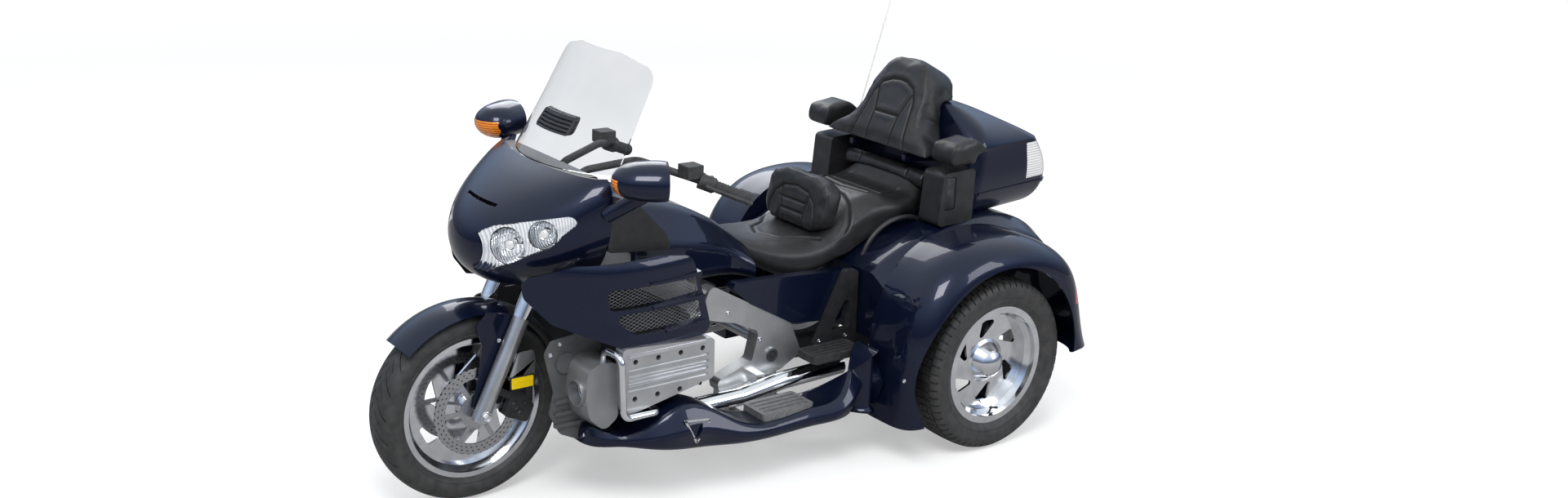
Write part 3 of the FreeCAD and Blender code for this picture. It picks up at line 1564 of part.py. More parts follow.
trunk_lamp_front = -400.0
lid_lift = 0.6
hinge_x = 60.0
hinge_z = 985.0
hinge_radius = 6.0
hinge_y = 150.0
hinge_width = 18.0
hinge_arm = 26.0
hinge_corner = 8.0

trunk_top = trunk_low + trunk_height


def trunk_levels():
    lows = (trunk_low, trunk_front, trunk_front, 0, 0)
    return rows(trunk_shares, lows, (trunk_height, -trunk_length, -trunk_length, trunk_half, trunk_half))


def lid_levels():
    lows = (trunk_top, trunk_front, trunk_front, 0, 0)
    sizes = (lid_height, -trunk_length, -trunk_length, trunk_half, trunk_half)
    return trunk_levels()[-1:] + rows(lid_shares, lows, sizes)


def trunk_solid(levels, inset, rise):
    """A skin over rounded outlines in the top view, drawn in and lifted."""
    wires = []
    for z, front, rear, half_front, half_rear in levels:
        corners = [(front - inset, half_front - inset), (front - inset, inset - half_front),
                   (rear + inset, inset - half_rear), (rear + inset, half_rear - inset)]
        wires.append(rounded_wire(in_top_view(corners, z + rise), trunk_corner))
    return loft(wires)


def hinge_brackets():
    """Two arms ahead of the trunk that carry the lid's pins."""
    wall = trunk_levels()[-1][1] + trunk_wall
    half = hinge_arm / 2
    pieces = []
    for y in (-hinge_y, hinge_y):
        places = [(wall, hinge_z - hinge_arm), (hinge_x + half, hinge_z - half),
                  (hinge_x + half, hinge_z + half), (wall, hinge_z + half)]
        pieces.append(side_plate(places, y - hinge_width / 2, y + hinge_width / 2, hinge_corner))
        pieces.append(drum(hinge_x, hinge_z, hinge_radius, y - hinge_width, y + hinge_width))
    return pieces


def trunk_base(outer):
    """The hollow base with a rib round its sides, and the lamp let into its left rear corner."""
    inner = trunk_solid(trunk_levels(), trunk_wall, trunk_wall)
    rib_z = trunk_low + trunk_height * trunk_rib_share
    rib_front = trunk_front - trunk_corner
    rib_band = block((-rear_overhang, rib_front), (-half_width, half_width),
                     (rib_z, rib_z + trunk_rib_height))
    rib = trunk_solid(trunk_levels(), -trunk_rib_stand, 0).common(rib_band)
    lamp_way = block((-rear_overhang, trunk_lamp_front), (trunk_lamp_inner, half_width),
                     (trunk_lamp_low, trunk_lamp_low + trunk_lamp_height))
    lamp = outer.cut(trunk_solid(trunk_levels(), tail_lamp_wall, 0)).common(lamp_way)
    shell = fused([outer, rib]).cut(inner)
    return fused([shell] + hinge_brackets()).cut(lamp_way).cut(mirrored(lamp_way)), lamp


def trunk_lid(outer):
    return outer.cut(trunk_solid(lid_levels(), trunk_wall, lid_lift - trunk_wall))


# Passenger's backrest and armrests, which tip with the lid
backrest_half = 300.0
backrest_low = 1002.0
backrest_height = 368.0
backrest_shares = [(-1.0, 0.0), (-0.91, 0.11), (-0.68, 0.24), (-0.56, 0.42), (-0.53, 0.68),
                   (-0.33, 1.0), (0.33, 1.0), (0.53, 0.68), (0.56, 0.42), (0.68, 0.24), (0.91, 0.11),
                   (1.0, 0.0)]
backrest_depth = 165.0
backrest_lean = 27.0
backrest_corner = 90.0
backrest_place = 100.0
backrest_clear = 20.0
backrest_gap = 6.0
armrest_rear = -118.0
armrest_length = 206.0
armrest_low = 1005.0
armrest_height = 101.0
armrest_shares = [(1.0, 0.0), (0.96, 0.79), (0.4, 0.96), (0.29, 0.84), (0.11, 0.56), (0.01, 0.37),
                  (0.33, 0.37), (0.35, 0.01)]
armrest_inner = 300.0
armrest_outer = 418.0
armrest_corner = 26.0


def passenger_backrest(lid):
    places = spread(backrest_shares, (0, backrest_low), (backrest_half, backrest_height))
    pad = front_prism(places, -backrest_depth, 0, backrest_corner)
    pad.rotate(Vector(0, 0, backrest_low), along_y, -backrest_lean)
    pad.translate(Vector(backrest_place, 0, 0))
    below = block((-half_width, half_width), (-half_width, half_width), (0, hinge_z + backrest_clear))
    base_way = trunk_solid(trunk_levels(), -backrest_gap, lid_lift)
    return pad.cut(lid).cut(below).cut(base_way)


def armrest(lid, pad):
    places = spread(armrest_shares, (armrest_rear, armrest_low), (armrest_length, armrest_height))
    return side_plate(places, armrest_inner, armrest_outer, armrest_corner).cut(lid).cut(pad)


# Speaker pods beside the passenger, each with a sunk panel, and the roll between them
pod_rear = -84.0
pod_length = 170.0
pod_low = 776.0
pod_height = 204.0
pod_shares = [(1.0, 0.0), (0.91, 0.96), (0.0, 1.0), (0.0, 0.03)]
pod_inner = 268.0
pod_outer = 372.0
pod_corner = 20.0
pod_panel_shares = [(0.86, 0.29), (0.81, 0.88), (0.54, 0.89), (0.53, 0.29)]
pod_panel_depth = 8.0
pod_panel_corner = 10.0
lumbar_x = 12.0
lumbar_z = 905.0
lumbar_radius = 36.0
lumbar_half = 225.0


def speaker_pod():
    corner = (pod_rear, pod_low)
    size = (pod_length, pod_height)
    pod = side_plate(spread(pod_shares, corner, size), pod_inner, pod_outer, pod_corner)
    panel = side_plate(spread(pod_panel_shares, corner, size), pod_outer - pod_panel_depth,
                       pod_outer + overrun, pod_panel_corner)
    return pod.cut(panel)


# A blank bracket on the tail with four holes for a plate, and the whip antenna on the trunk's right side
plate_width = 190.0
plate_height = 112.0
plate_wall = 4.0
plate_low = 430.0
plate_hole_x = 146.0
plate_hole_z = 70.0
plate_hole_radius = 3.5
plate_corner = 10.0
plate_post_half_width = 48.0
plate_post_half_height = 12.0
antenna_x = -105.0
antenna_y = -374.0
antenna_z = 900.0
antenna_lean = 16.7
antenna_length = 1050.0
antenna_radius = 2.5
antenna_foot_radius = 12.0
antenna_foot_length = 60.0
antenna_arm_length = 32.0
antenna_arm_height = 24.0


def plate_bracket():
    x = -rear_overhang
    high = plate_low + plate_height
    half = plate_width / 2
    places = [(-half, plate_low), (half, plate_low), (half, high), (-half, high)]
    plate = front_prism(places, x, x + plate_wall, plate_corner)
    middle = plate_low + plate_height / 2
    for y in (-plate_hole_x / 2, plate_hole_x / 2):
        for z in (middle - plate_hole_z / 2, middle + plate_hole_z / 2):
            start = Vector(x - overrun / 2, y, z)
            plate = plate.cut(Part.makeCylinder(plate_hole_radius, plate_wall + overrun, start, along_x))
    post = block((x + plate_wall, body_rear), (-plate_post_half_width, plate_post_half_width),
                 (middle - plate_post_half_height, middle + plate_post_half_height))
    return fused([plate, post])


def antenna(trunk):
    base = Vector(antenna_x, antenna_y, antenna_z)
    way = Vector(-math.sin(math.radians(antenna_lean)), 0, math.cos(math.radians(antenna_lean)))
    whip = rod(base, base + way * antenna_length, antenna_radius)
    foot = rod(base, base + way * antenna_foot_length, antenna_foot_radius)
    arm = block((antenna_x - antenna_foot_radius, antenna_x + antenna_foot_radius),
                (antenna_y, antenna_y + antenna_arm_length), (antenna_z, antenna_z + antenna_arm_height))
    return fused([whip, foot, arm]).cut(trunk)


def make_body(frame, board, tank):
    save("tank_cover", tank)
    trunk = trunk_solid(trunk_levels(), 0, 0)
    body, lamp = rear_body(trunk)
    save("rear_body", body)
    save("tail_lamps", both_sides(lamp))
    centre = body_solid(0)
    cushion = seat(centre)
    save("seat", cushion)
    save("rider_backrest", rider_backrest().cut(cushion))
    save("side_covers", both_sides(side_cover(frame)))
    save("rear_brackets", both_sides(rear_bracket()))
    save("passenger_boards", both_sides(passenger_board()))
    save("running_boards", both_sides(board))
    save("floor_mats", both_sides(floor_mat(board)))
    save("exhausts", both_sides(exhaust()))
    save("rear_axle", rear_axle(frame))
    base, lamp = trunk_base(trunk)
    save("trunk_base", base)
    save("trunk_lamps", both_sides(lamp))
    lid = trunk_solid(lid_levels(), 0, lid_lift)
    save("trunk_lid", trunk_lid(lid))
    pad = passenger_backrest(lid)
    save("passenger_backrest", pad)
    save("armrests", both_sides(armrest(lid, pad)))
    save("speaker_pods", both_sides(speaker_pod().cut(trunk).cut(centre)))
    save("lumbar_pad", drum(lumbar_x, lumbar_z, lumbar_radius, -lumbar_half, lumbar_half).cut(cushion))
    save("antenna", antenna(trunk))
    save("plate_bracket", plate_bracket())


make_wheels()
make_steering()
left_board = running_board()
tank_shell = tank_cover()
make_body(make_front(left_board, tank_shell), left_board, tank_shell)
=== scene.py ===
import bpy, bmesh, math
import numpy
from mathutils import Matrix, Vector


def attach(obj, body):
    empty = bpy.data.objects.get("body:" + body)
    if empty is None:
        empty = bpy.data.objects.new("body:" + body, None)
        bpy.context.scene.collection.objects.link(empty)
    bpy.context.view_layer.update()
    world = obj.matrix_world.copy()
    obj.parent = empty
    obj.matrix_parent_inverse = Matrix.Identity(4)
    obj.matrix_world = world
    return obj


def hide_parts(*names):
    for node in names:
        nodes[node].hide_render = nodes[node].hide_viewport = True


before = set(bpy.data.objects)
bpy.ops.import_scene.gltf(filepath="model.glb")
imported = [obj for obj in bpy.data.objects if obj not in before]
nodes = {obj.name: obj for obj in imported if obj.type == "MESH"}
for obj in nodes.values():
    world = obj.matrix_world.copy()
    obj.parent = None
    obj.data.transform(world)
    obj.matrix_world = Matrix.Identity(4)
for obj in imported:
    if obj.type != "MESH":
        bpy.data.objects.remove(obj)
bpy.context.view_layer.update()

bpy.ops.object.select_all(action="DESELECT")

# Camera: it stands ahead and to the left of the trike, a little above head height, where
# the photograph was taken from, and looks back and down along the whole left side.
camera_place = Vector((3.11953, 4.33785, 2.35068))
camera_right = Vector((-0.79533769, 0.60421968, 0.04854416))
camera_up = Vector((-0.14130097, -0.26268003, 0.95448061))
camera_back = Vector((0.58946755, 0.75227507, 0.29429616))
camera_data = bpy.data.cameras.new("camera")
camera_data.sensor_width = 36.0
camera_data.lens = 36.222
camera = bpy.data.objects.new("camera", camera_data)
bpy.context.collection.objects.link(camera)
turn = Matrix((camera_right, camera_up, camera_back)).transposed().to_4x4()
camera.matrix_world = Matrix.Translation(camera_place) @ turn
bpy.context.scene.camera = camera

# Studio: a pale floor that fades out to a white backdrop, lit by three broad lamps. Bright
# metal and paint see a sky that is white overhead and darker down to the horizon, over a
# duller floor, as they would out of doors.
bpy.context.scene.view_settings.view_transform = "Standard"
floor_side, fade_start, fade_end = 60, 3.0, 12.0
near_glow, far_glow, mirrored_glow_share = 0.40, 0.56, 0.15
sky_stops = [(0.0, (0.10, 0.11, 0.13)), (0.12, (0.18, 0.22, 0.30)), (0.34, (0.50, 0.64, 0.90)),
             (0.66, (0.88, 0.94, 1.0))]


def sum_of(tree, operation, first, second=0.0):
    """One step of arithmetic on a socket, with a number or another socket."""
    made = tree.nodes.new("ShaderNodeMath")
    made.operation = operation
    for socket, value in zip(made.inputs, (first, second)):
        if isinstance(value, (int, float)):
            socket.default_value = value
        else:
            tree.links.new(value, socket)
    return made.outputs[0]


def vector_of(tree, operation, first, second=(0, 0, 0)):
    """One step of arithmetic on a vector socket, with its vector and its value."""
    made = tree.nodes.new("ShaderNodeVectorMath")
    made.operation = operation
    made.inputs[1].default_value = second
    tree.links.new(first, made.inputs[0])
    return made.outputs[0], made.outputs[1]


def ramp(tree, source, stops):
    """Colours along a value, as (place, colour)."""
    made = tree.nodes.new("ShaderNodeValToRGB")
    for index, (place, colour) in enumerate(stops):
        stop = made.color_ramp.elements[index] if index < 2 else made.color_ramp.elements.new(place)
        stop.position = place
        stop.color = (*colour, 1)
    tree.links.new(source, made.inputs[0])
    return made.outputs[0]


def mixed_colour(tree, share, first, second):
    """One colour turned into another by a share, where each is a colour or a socket."""
    made = tree.nodes.new("ShaderNodeMix")
    made.data_type = "RGBA"
    tree.links.new(share, made.inputs["Factor"])
    for name, source in (("A", first), ("B", second)):
        if isinstance(source, tuple):
            made.inputs[name].default_value = (*source, 1)
        else:
            tree.links.new(source, made.inputs[name])
    return made.outputs["Result"]


def mixed_light(tree, share, first, second):
    """One shader turned into another by a share."""
    made = tree.nodes.new("ShaderNodeMixShader")
    for socket, source in zip(made.inputs, (share, first, second)):
        tree.links.new(source, socket)
    return made.outputs[0]


def seen_and_mirrored(tree):
    """Whether a ray comes from the camera, straight or through glass, and whether from a mirror."""
    path = tree.nodes.new("ShaderNodeLightPath")
    seen = sum_of(tree, "MAXIMUM", path.outputs["Is Camera Ray"], path.outputs["Is Transmission Ray"])
    return seen, path.outputs["Is Glossy Ray"]


world = bpy.data.worlds.new("studio")
bpy.context.scene.world = world
world.use_nodes = True
tree = world.node_tree
tree.nodes.clear()
seen, mirrored = seen_and_mirrored(tree)
heights = tree.nodes.new("ShaderNodeSeparateXYZ")
tree.links.new(tree.nodes.new("ShaderNodeTexCoord").outputs["Generated"], heights.inputs[0])
sky = tree.nodes.new("ShaderNodeBackground")
tree.links.new(ramp(tree, heights.outputs[2], sky_stops), sky.inputs["Color"])
fill = tree.nodes.new("ShaderNodeBackground")
fill.inputs["Color"].default_value = (0.96, 0.98, 1.0, 1)
fill.inputs["Strength"].default_value = 0.72
backdrop = tree.nodes.new("ShaderNodeBackground")
backdrop.inputs["Color"].default_value = (1, 1, 1, 1)
lit = mixed_light(tree, mirrored, fill.outputs[0], sky.outputs[0])
world_output = tree.nodes.new("ShaderNodeOutputWorld")
tree.links.new(mixed_light(tree, seen, lit, backdrop.outputs[0]), world_output.inputs[0])

bpy.ops.mesh.primitive_plane_add(size=floor_side)
floor = bpy.context.object
floor.name = "floor"
floor_finish = bpy.data.materials.new("floor_finish")
floor_finish.use_nodes = True
tree = floor_finish.node_tree
shader = tree.nodes["Principled BSDF"]
seen, mirrored = seen_and_mirrored(tree)
tone = mixed_colour(tree, mirrored, (0.66, 0.66, 0.66), (0.30, 0.30, 0.31))
tree.links.new(tone, shader.inputs["Base Color"])
shader.inputs["Roughness"].default_value = 0.95
shader.inputs["Emission Color"].default_value = (1, 1, 1, 1)
reach = vector_of(tree, "LENGTH", tree.nodes.new("ShaderNodeTexCoord").outputs["Object"])[1]
fade = tree.nodes.new("ShaderNodeMapRange")
for socket, value in (("From Min", fade_start), ("From Max", fade_end), ("To Min", near_glow),
                      ("To Max", far_glow)):
    fade.inputs[socket].default_value = value
tree.links.new(reach, fade.inputs["Value"])
shown = sum_of(tree, "ADD", sum_of(tree, "MULTIPLY", mirrored, mirrored_glow_share), seen)
tree.links.new(sum_of(tree, "MULTIPLY", shown, fade.outputs["Result"]), shader.inputs["Emission Strength"])
floor.data.materials.append(floor_finish)
for name, place, size, power in (("key", (2.2, 2.6, 4.4), 2.0, 150), ("side", (-2.6, 4.0, 2.8), 2.0, 60),
                                 ("rim", (-1.5, -4.0, 4.0), 3.0, 90)):
    lamp_data = bpy.data.lights.new(name, "AREA")
    lamp_data.size = size
    lamp_data.energy = power
    lamp = bpy.data.objects.new(name, lamp_data)
    bpy.context.collection.objects.link(lamp)
    lamp.location = place
    lamp.rotation_euler = (Vector((0, 0, 0.6)) - Vector(place)).to_track_quat("-Z", "Y").to_euler()

# Painted bodywork: moulded panels in dark blue metallic paint under a thick clear coat,
# with fine flakes in the colour and the slight ripple that sprayed lacquer keeps.


def new_finish(name, values):
    """A material with its shader's constants set, and its tree, shader and object coordinates."""
    made = bpy.data.materials.new(name)
    made.use_nodes = True
    shader = made.node_tree.nodes["Principled BSDF"]
    for socket, value in values.items():
        shader.inputs[socket].default_value = value
    place = made.node_tree.nodes.new("ShaderNodeTexCoord").outputs["Object"]
    return made, made.node_tree, shader, place


def texture(tree, kind, place, scale, **sockets):
    """A texture node that reads a place in metres."""
    made = tree.nodes.new("ShaderNodeTex" + kind)
    tree.links.new(place, made.inputs["Vector"])
    made.inputs["Scale"].default_value = scale
    for name, value in sockets.items():
        made.inputs[name].default_value = value
    return made


def tint(tree, shader, source, stops):
    """The finish's colour along a value."""
    tree.links.new(ramp(tree, source, stops), shader.inputs["Base Color"])


def relief(tree, shader, source, depth, strength=1.0, under=None):
    """Bump from a height; depth is in metres."""
    made = tree.nodes.new("ShaderNodeBump")
    made.inputs["Strength"].default_value = strength
    made.inputs["Distance"].default_value = depth
    tree.links.new(source, made.inputs["Height"])
    if under is not None:
        tree.links.new(under, made.inputs["Normal"])
    tree.links.new(made.outputs[0], shader.inputs["Normal"])
    return made.outputs[0]


def dress(finish, slot, *names):
    """CAD pieces whose form is right take this finish."""
    for name in names:
        nodes[name].data.materials.clear()
        nodes[name].data.materials.append(finish)


paint_values = {"Metallic": 0.45, "Roughness": 0.32, "Specular IOR Level": 0.15, "Coat IOR": 1.38,
                "Coat Weight": 1.0, "Coat Roughness": 0.02}
paint, tree, shader, place = new_finish("dark_blue_paint", paint_values)
flakes = texture(tree, "Voronoi", place, 1400)
tint(tree, shader, flakes.outputs["Color"],
     [(0.15, (0.0022, 0.0036, 0.0120)), (0.9, (0.0060, 0.0120, 0.0420))])
ripple = texture(tree, "Noise", place, 38, Detail=1.0)
relief(tree, shader, ripple.outputs["Fac"], 0.0002, 0.25)
dress(paint, "navy_paint", "nose_fairing", "mirrors", "side_cowls", "tank_cover", "side_covers",
      "running_boards", "rear_body", "trunk_base", "trunk_lid", "front_fender")

# Castings: frame beams, valve covers and fork legs in cast aluminium, lacquered silver,
# with a fine grain and slightly darker where road dust settles.


def worn_finish(name, tone, dark, light, roughness, metallic=0.0, skin=None, depth=0.0, strength=0.0):
    """A finish that wanders between two shades, with relief from its skin or else from its tone.

    The tone is a noise's scale and detail, the skin a texture's kind, scale and detail.
    """
    made, tree, shader, place = new_finish(name, {"Metallic": metallic, "Roughness": roughness})
    patches = texture(tree, "Noise", place, tone[0], Detail=tone[1])
    tint(tree, shader, patches.outputs["Fac"], [(0.3, dark), (0.7, light)])
    surface = texture(tree, skin[0], place, skin[1], Detail=skin[2]) if skin else patches
    if depth:
        relief(tree, shader, surface.outputs[0], depth, strength)
    return made


cast_silver = worn_finish("cast_silver", (9, 4.0), (0.44, 0.45, 0.46), (0.60, 0.61, 0.62), 0.30, 0.85,
                          ("Noise", 520, 5.0), 0.0002, 0.35)
dress(cast_silver, "silver", "frame_spars", "valve_covers", "fork_legs")

# Lower cowls: pressed covers ahead of each bank, in a darker silver lacquer than the frame,
# with the same fine grain.
cowl_silver = worn_finish("grey_silver", (7, 4.0), (0.22, 0.225, 0.23), (0.31, 0.315, 0.32), 0.36, 0.7,
                          ("Noise", 600, 5.0), 0.0002, 0.3)
dress(cowl_silver, "silver", "front_cowls")

# Bright metal: tube covers, engine guards and silencers, bent and drawn from steel and then
# chromed, with faint wiping marks.
bright = worn_finish("bright_plate", (18, 4.0), (0.76, 0.77, 0.78), (0.90, 0.90, 0.90), 0.07, 1.0,
                     depth=0.0004, strength=0.08)
dress(bright, "chrome", "engine_guards", "fork_covers", "exhausts")

# Dark castings: the engine block and the rear axle, in black lacquered iron and aluminium
# with a sandy grain.
dark_cast = worn_finish("dark_casting", (320, 6.0), (0.030, 0.031, 0.033), (0.070, 0.071, 0.075), 0.5, 0.6,
                        depth=0.0006, strength=0.5)
dress(dark_cast, "grey_metal", "engine_block", "rear_axle")

# Black mouldings: trim, brackets, guards, cockpit and speaker pods, moulded in plastic with
# a leathery grain.
moulding = worn_finish("black_moulding", (25, 3.0), (0.013, 0.013, 0.014), (0.024, 0.024, 0.026), 0.44, 0.0,
                       ("Voronoi", 900, 0.0), 0.0003, 0.35)
dress(moulding, "black_plastic", "inner_fairing", "rear_brackets", "speaker_pods", "front_rear_guard",
      "plate_bracket", "front_calipers", "steering_stem", "windscreen_vent")

# Wheel shields: covers of grey moulded plastic on both sides of the front wheel's rear half,
# held by screws.
grey_moulding = worn_finish("grey_moulding", (14, 3.0), (0.055, 0.056, 0.058), (0.085, 0.086, 0.089), 0.4,
                            skin=("Voronoi", 800, 0.0), depth=0.0003, strength=0.3)
dress(grey_moulding, "black_plastic", "wheel_shields")

# Cowl meshes: expanded metal in dark grey lacquer, which closes the side cowls' recesses
# behind the fins.
grey_wire = worn_finish("grey_wire", (700, 3.0), (0.16, 0.165, 0.17), (0.26, 0.265, 0.27), 0.4, 0.7,
                        depth=0.0002, strength=0.3)
dress(grey_wire, "black_plastic", "cowl_meshes")

# Antenna: a glass fibre whip in white enamel, which stands on a clamp at the trunk's right
# side.
white_enamel = worn_finish("white_enamel", (30, 3.0), (0.74, 0.74, 0.72), (0.84, 0.84, 0.82), 0.35,
                           depth=0.0003, strength=0.2)
dress(white_enamel, "silver", "antenna")

# Rubber pieces: the coat of the handlebar and the ribbed passenger boards, moulded in black
# rubber that is dull and a little dusty.
rubber = worn_finish("moulded_rubber", (60, 4.0), (0.016, 0.016, 0.016), (0.040, 0.040, 0.041), 0.7,
                     depth=0.0008, strength=0.4)
dress(rubber, "rubber", "handlebar", "passenger_boards")

# Floor mats: ribbed treads of grey rubber and brushed metal, laid on the running boards
# under the rider's feet.
grey_tread = worn_finish("grey_tread", (90, 4.0), (0.13, 0.13, 0.135), (0.21, 0.21, 0.215), 0.5, 0.3,
                         depth=0.0005, strength=0.4)
dress(grey_tread, "rubber", "floor_mats")

# Front brake discs and wheels: ground steel discs drilled with slanting rows of holes, which
# are painted near-black as painted shade rather than cut, and polished alloy rims whose fine
# turning marks run round the axle, the rear ones each with a valve stem.
front_axle = Vector((0.995, 0, 0.32))
rear_axles = {"left": Vector((-0.77, 0.56, 0.32)), "right": Vector((-0.77, -0.56, 0.32))}
disc_inner, disc_outer = 0.112, 0.148
hole_rows, hole_columns, row_lean, hole_share = 3, 42, 0.36, 0.17
turning_pitch = 0.0016


def around_axle(tree, place, middle):
    """The angle round a wheel's axle in turns, and the distance from it."""
    centred = vector_of(tree, "SUBTRACT", place, (middle.x, 0, middle.z))[0]
    flat = vector_of(tree, "MULTIPLY", centred, (1, 0, 1))[0]
    parts = tree.nodes.new("ShaderNodeSeparateXYZ")
    tree.links.new(flat, parts.inputs[0])
    angle = sum_of(tree, "ARCTAN2", parts.outputs[2], parts.outputs[0])
    return sum_of(tree, "DIVIDE", angle, 2 * math.pi), vector_of(tree, "LENGTH", flat)[1]


disc_finish, tree, shader, place = new_finish("drilled_steel", {"Metallic": 1.0, "Roughness": 0.28})
turns, reach = around_axle(tree, place, front_axle)
row_pitch = (disc_outer - disc_inner) / hole_rows
across = sum_of(tree, "DIVIDE", sum_of(tree, "SUBTRACT", reach, disc_inner), row_pitch)
along = sum_of(tree, "ADD", sum_of(tree, "MULTIPLY", turns, hole_columns),
               sum_of(tree, "MULTIPLY", across, row_lean))
grid = tree.nodes.new("ShaderNodeCombineXYZ")
tree.links.new(along, grid.inputs[0])
tree.links.new(across, grid.inputs[1])
holes = tree.nodes.new("ShaderNodeTexVoronoi")
holes.voronoi_dimensions = "2D"
holes.inputs["Scale"].default_value = 1.0
holes.inputs["Randomness"].default_value = 0.0
tree.links.new(grid.outputs[0], holes.inputs["Vector"])
grain = texture(tree, "Noise", place, 260, Detail=3.0)
steel = ramp(tree, grain.outputs["Fac"], [(0.3, (0.40, 0.40, 0.41)), (0.7, (0.56, 0.56, 0.57))])
# Painted shade: the holes are not cut; the disc's colour is near-black inside each hole, standing in for the
# shade seen through it.
shaded_hole_mask = sum_of(tree, "MULTIPLY", sum_of(tree, "GREATER_THAN", reach, disc_inner),
              sum_of(tree, "LESS_THAN", holes.outputs["Distance"], hole_share))
drilled = mixed_colour(tree, shaded_hole_mask, steel, (0.01, 0.01, 0.01))
tree.links.new(drilled, shader.inputs["Base Color"])
relief(tree, shader, grain.outputs["Fac"], 0.0002, 0.3)
dress(disc_finish, "disc_steel", "front_discs")

rim_finishes = {}
for name, middle in (("front_rim", front_axle), ("rear_rim_left", rear_axles["left"]),
                     ("rear_rim_right", rear_axles["right"])):
    rim_finish, tree, shader, place = new_finish("polished_" + name, {"Metallic": 1.0, "Roughness": 0.12})
    turns, reach = around_axle(tree, place, middle)
    rings = sum_of(tree, "SINE", sum_of(tree, "MULTIPLY", reach, 2 * math.pi / turning_pitch))
    smudge = texture(tree, "Noise", place, 22, Detail=5.0)
    tint(tree, shader, smudge.outputs["Fac"], [(0.3, (0.68, 0.69, 0.71)), (0.7, (0.86, 0.86, 0.87))])
    relief(tree, shader, rings, 0.00002, 0.35)
    dress(rim_finish, "polished_rim", name)
    rim_finishes[name] = rim_finish


def select_whole():
    """Select a mesh's every part, in edit mode."""
    bpy.ops.mesh.select_all(action="SELECT")


def turned(name, steps, sides=24):
    """A round piece drawn up along Z from its first ring, as (radius, height) steps."""
    radius, height = steps[0]
    bpy.ops.mesh.primitive_circle_add(vertices=sides, radius=radius, fill_type="NGON",
                                      location=(0, 0, height))
    piece = bpy.context.object
    piece.name = name
    bpy.ops.object.mode_set(mode="EDIT")
    select_whole()
    for wide, high in steps[1:]:
        bpy.ops.mesh.extrude_region_move(TRANSFORM_OT_translate={"value": (0, 0, high - height)})
        bpy.ops.transform.resize(value=(wide / radius, wide / radius, 1), center_override=(0, 0, high))
        radius, height = wide, high
    select_whole()
    bpy.ops.mesh.normals_make_consistent(inside=False)
    bpy.ops.object.mode_set(mode="OBJECT")
    bpy.ops.object.transform_apply()
    return piece


def only(piece):
    """Select one piece and nothing else."""
    bpy.ops.object.select_all(action="DESELECT")
    piece.select_set(True)
    bpy.context.view_layer.objects.active = piece


def copy_of(model, name):
    """The same piece under another name."""
    piece = bpy.data.objects.new(name, model.data.copy())
    bpy.context.collection.objects.link(piece)
    return piece


def merged_copy(node, name, threshold):
    """A copy of a CAD piece with its loose triangles joined."""
    piece = copy_of(nodes[node], name)
    only(piece)
    bpy.ops.object.mode_set(mode="EDIT")
    select_whole()
    bpy.ops.mesh.remove_doubles(threshold=threshold)
    bpy.ops.object.mode_set(mode="OBJECT")
    return piece


def set_at(model, name, place, way):
    """A copy of a piece made along Z, turned along a way and set at its place."""
    piece = copy_of(model, name)
    piece.rotation_euler = Vector(way).to_track_quat("Z", "Y").to_euler()
    piece.location = place
    only(piece)
    bpy.ops.object.transform_apply()
    return piece


def other_side(piece, name):
    """The same piece mirrored to the other side of the vehicle."""
    twin = copy_of(piece, name)
    twin.scale = (1, -1, 1)
    only(twin)
    bpy.ops.object.transform_apply()
    bpy.ops.object.mode_set(mode="EDIT")
    select_whole()
    bpy.ops.mesh.normals_make_consistent(inside=False)
    bpy.ops.object.mode_set(mode="OBJECT")
    return twin


def one_piece(pieces, name):
    """Like pieces made one object."""
    only(pieces[0])
    for piece in pieces:
        piece.select_set(True)
    if len(pieces) > 1:
        bpy.ops.object.join()
    pieces[0].name = name
    return pieces[0]


def pair(piece, name):
    """A piece and its mirror image as one object."""
    return one_piece([piece, other_side(piece, name + "_right")], name)


def complete(piece, finish, body, angle=32):
    """Give a piece its finish, its shading and the body that it moves with."""
    piece.data.materials.clear()
    piece.data.materials.append(finish)
    only(piece)
    bpy.ops.object.shade_smooth_by_angle(angle=math.radians(angle))
    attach(piece, body)
    return piece


def drop(*models):
    """Take away the models that copies were made from."""
    for model in models:
        bpy.data.objects.remove(model)


stem = turned("valve_stem", [(0.0062, 0), (0.0058, 0.004), (0.0034, 0.007), (0.0034, 0.022), (0.0044, 0.023),
                             (0.0044, 0.034), (0.0030, 0.036)], 14)
for side, sign in (("left", 1), ("right", -1)):
    found, spot, normal, face = nodes["rear_rim_" + side].ray_cast(Vector((-0.798, sign * 0.75, 0.139)),
                                                                  Vector((0, -sign, 0)))
    rear_stem = set_at(stem, "valve_stem_" + side, spot - normal * 0.002, Vector((0.02, sign, 0.35)))
    complete(rear_stem, rubber, "rear_wheel_" + side)
drop(stem)

# Tyres: black rubber over a round carcass, with a raised ring on each wall. The front tread
# has grooves that lean back from the middle, the rear ones rings and shoulder blocks.
tyre_finish, tree, shader, place = new_finish("tyre_rubber", {"Roughness": 0.58})
dust = texture(tree, "Noise", place, 34, Detail=5.0)
fine = texture(tree, "Noise", place, 420, Detail=3.0)
tint(tree, shader, dust.outputs["Fac"], [(0.3, (0.020, 0.020, 0.020)), (0.75, (0.046, 0.045, 0.044))])
relief(tree, shader, fine.outputs["Fac"], 0.0004, 0.4)
front_half_section = [(0.0, 0.3195), (0.008, 0.3192), (0.017, 0.3185), (0.027, 0.3172), (0.037, 0.3150),
                      (0.046, 0.3118), (0.054, 0.3075), (0.0605, 0.3020), (0.0655, 0.2945), (0.0680, 0.2850),
                      (0.0680, 0.2740), (0.0655, 0.2630), (0.0628, 0.2570), (0.0634, 0.2545), (0.0622, 0.2510),
                      (0.0590, 0.2465), (0.0520, 0.2395), (0.0440, 0.2330), (0.0420, 0.2310)]
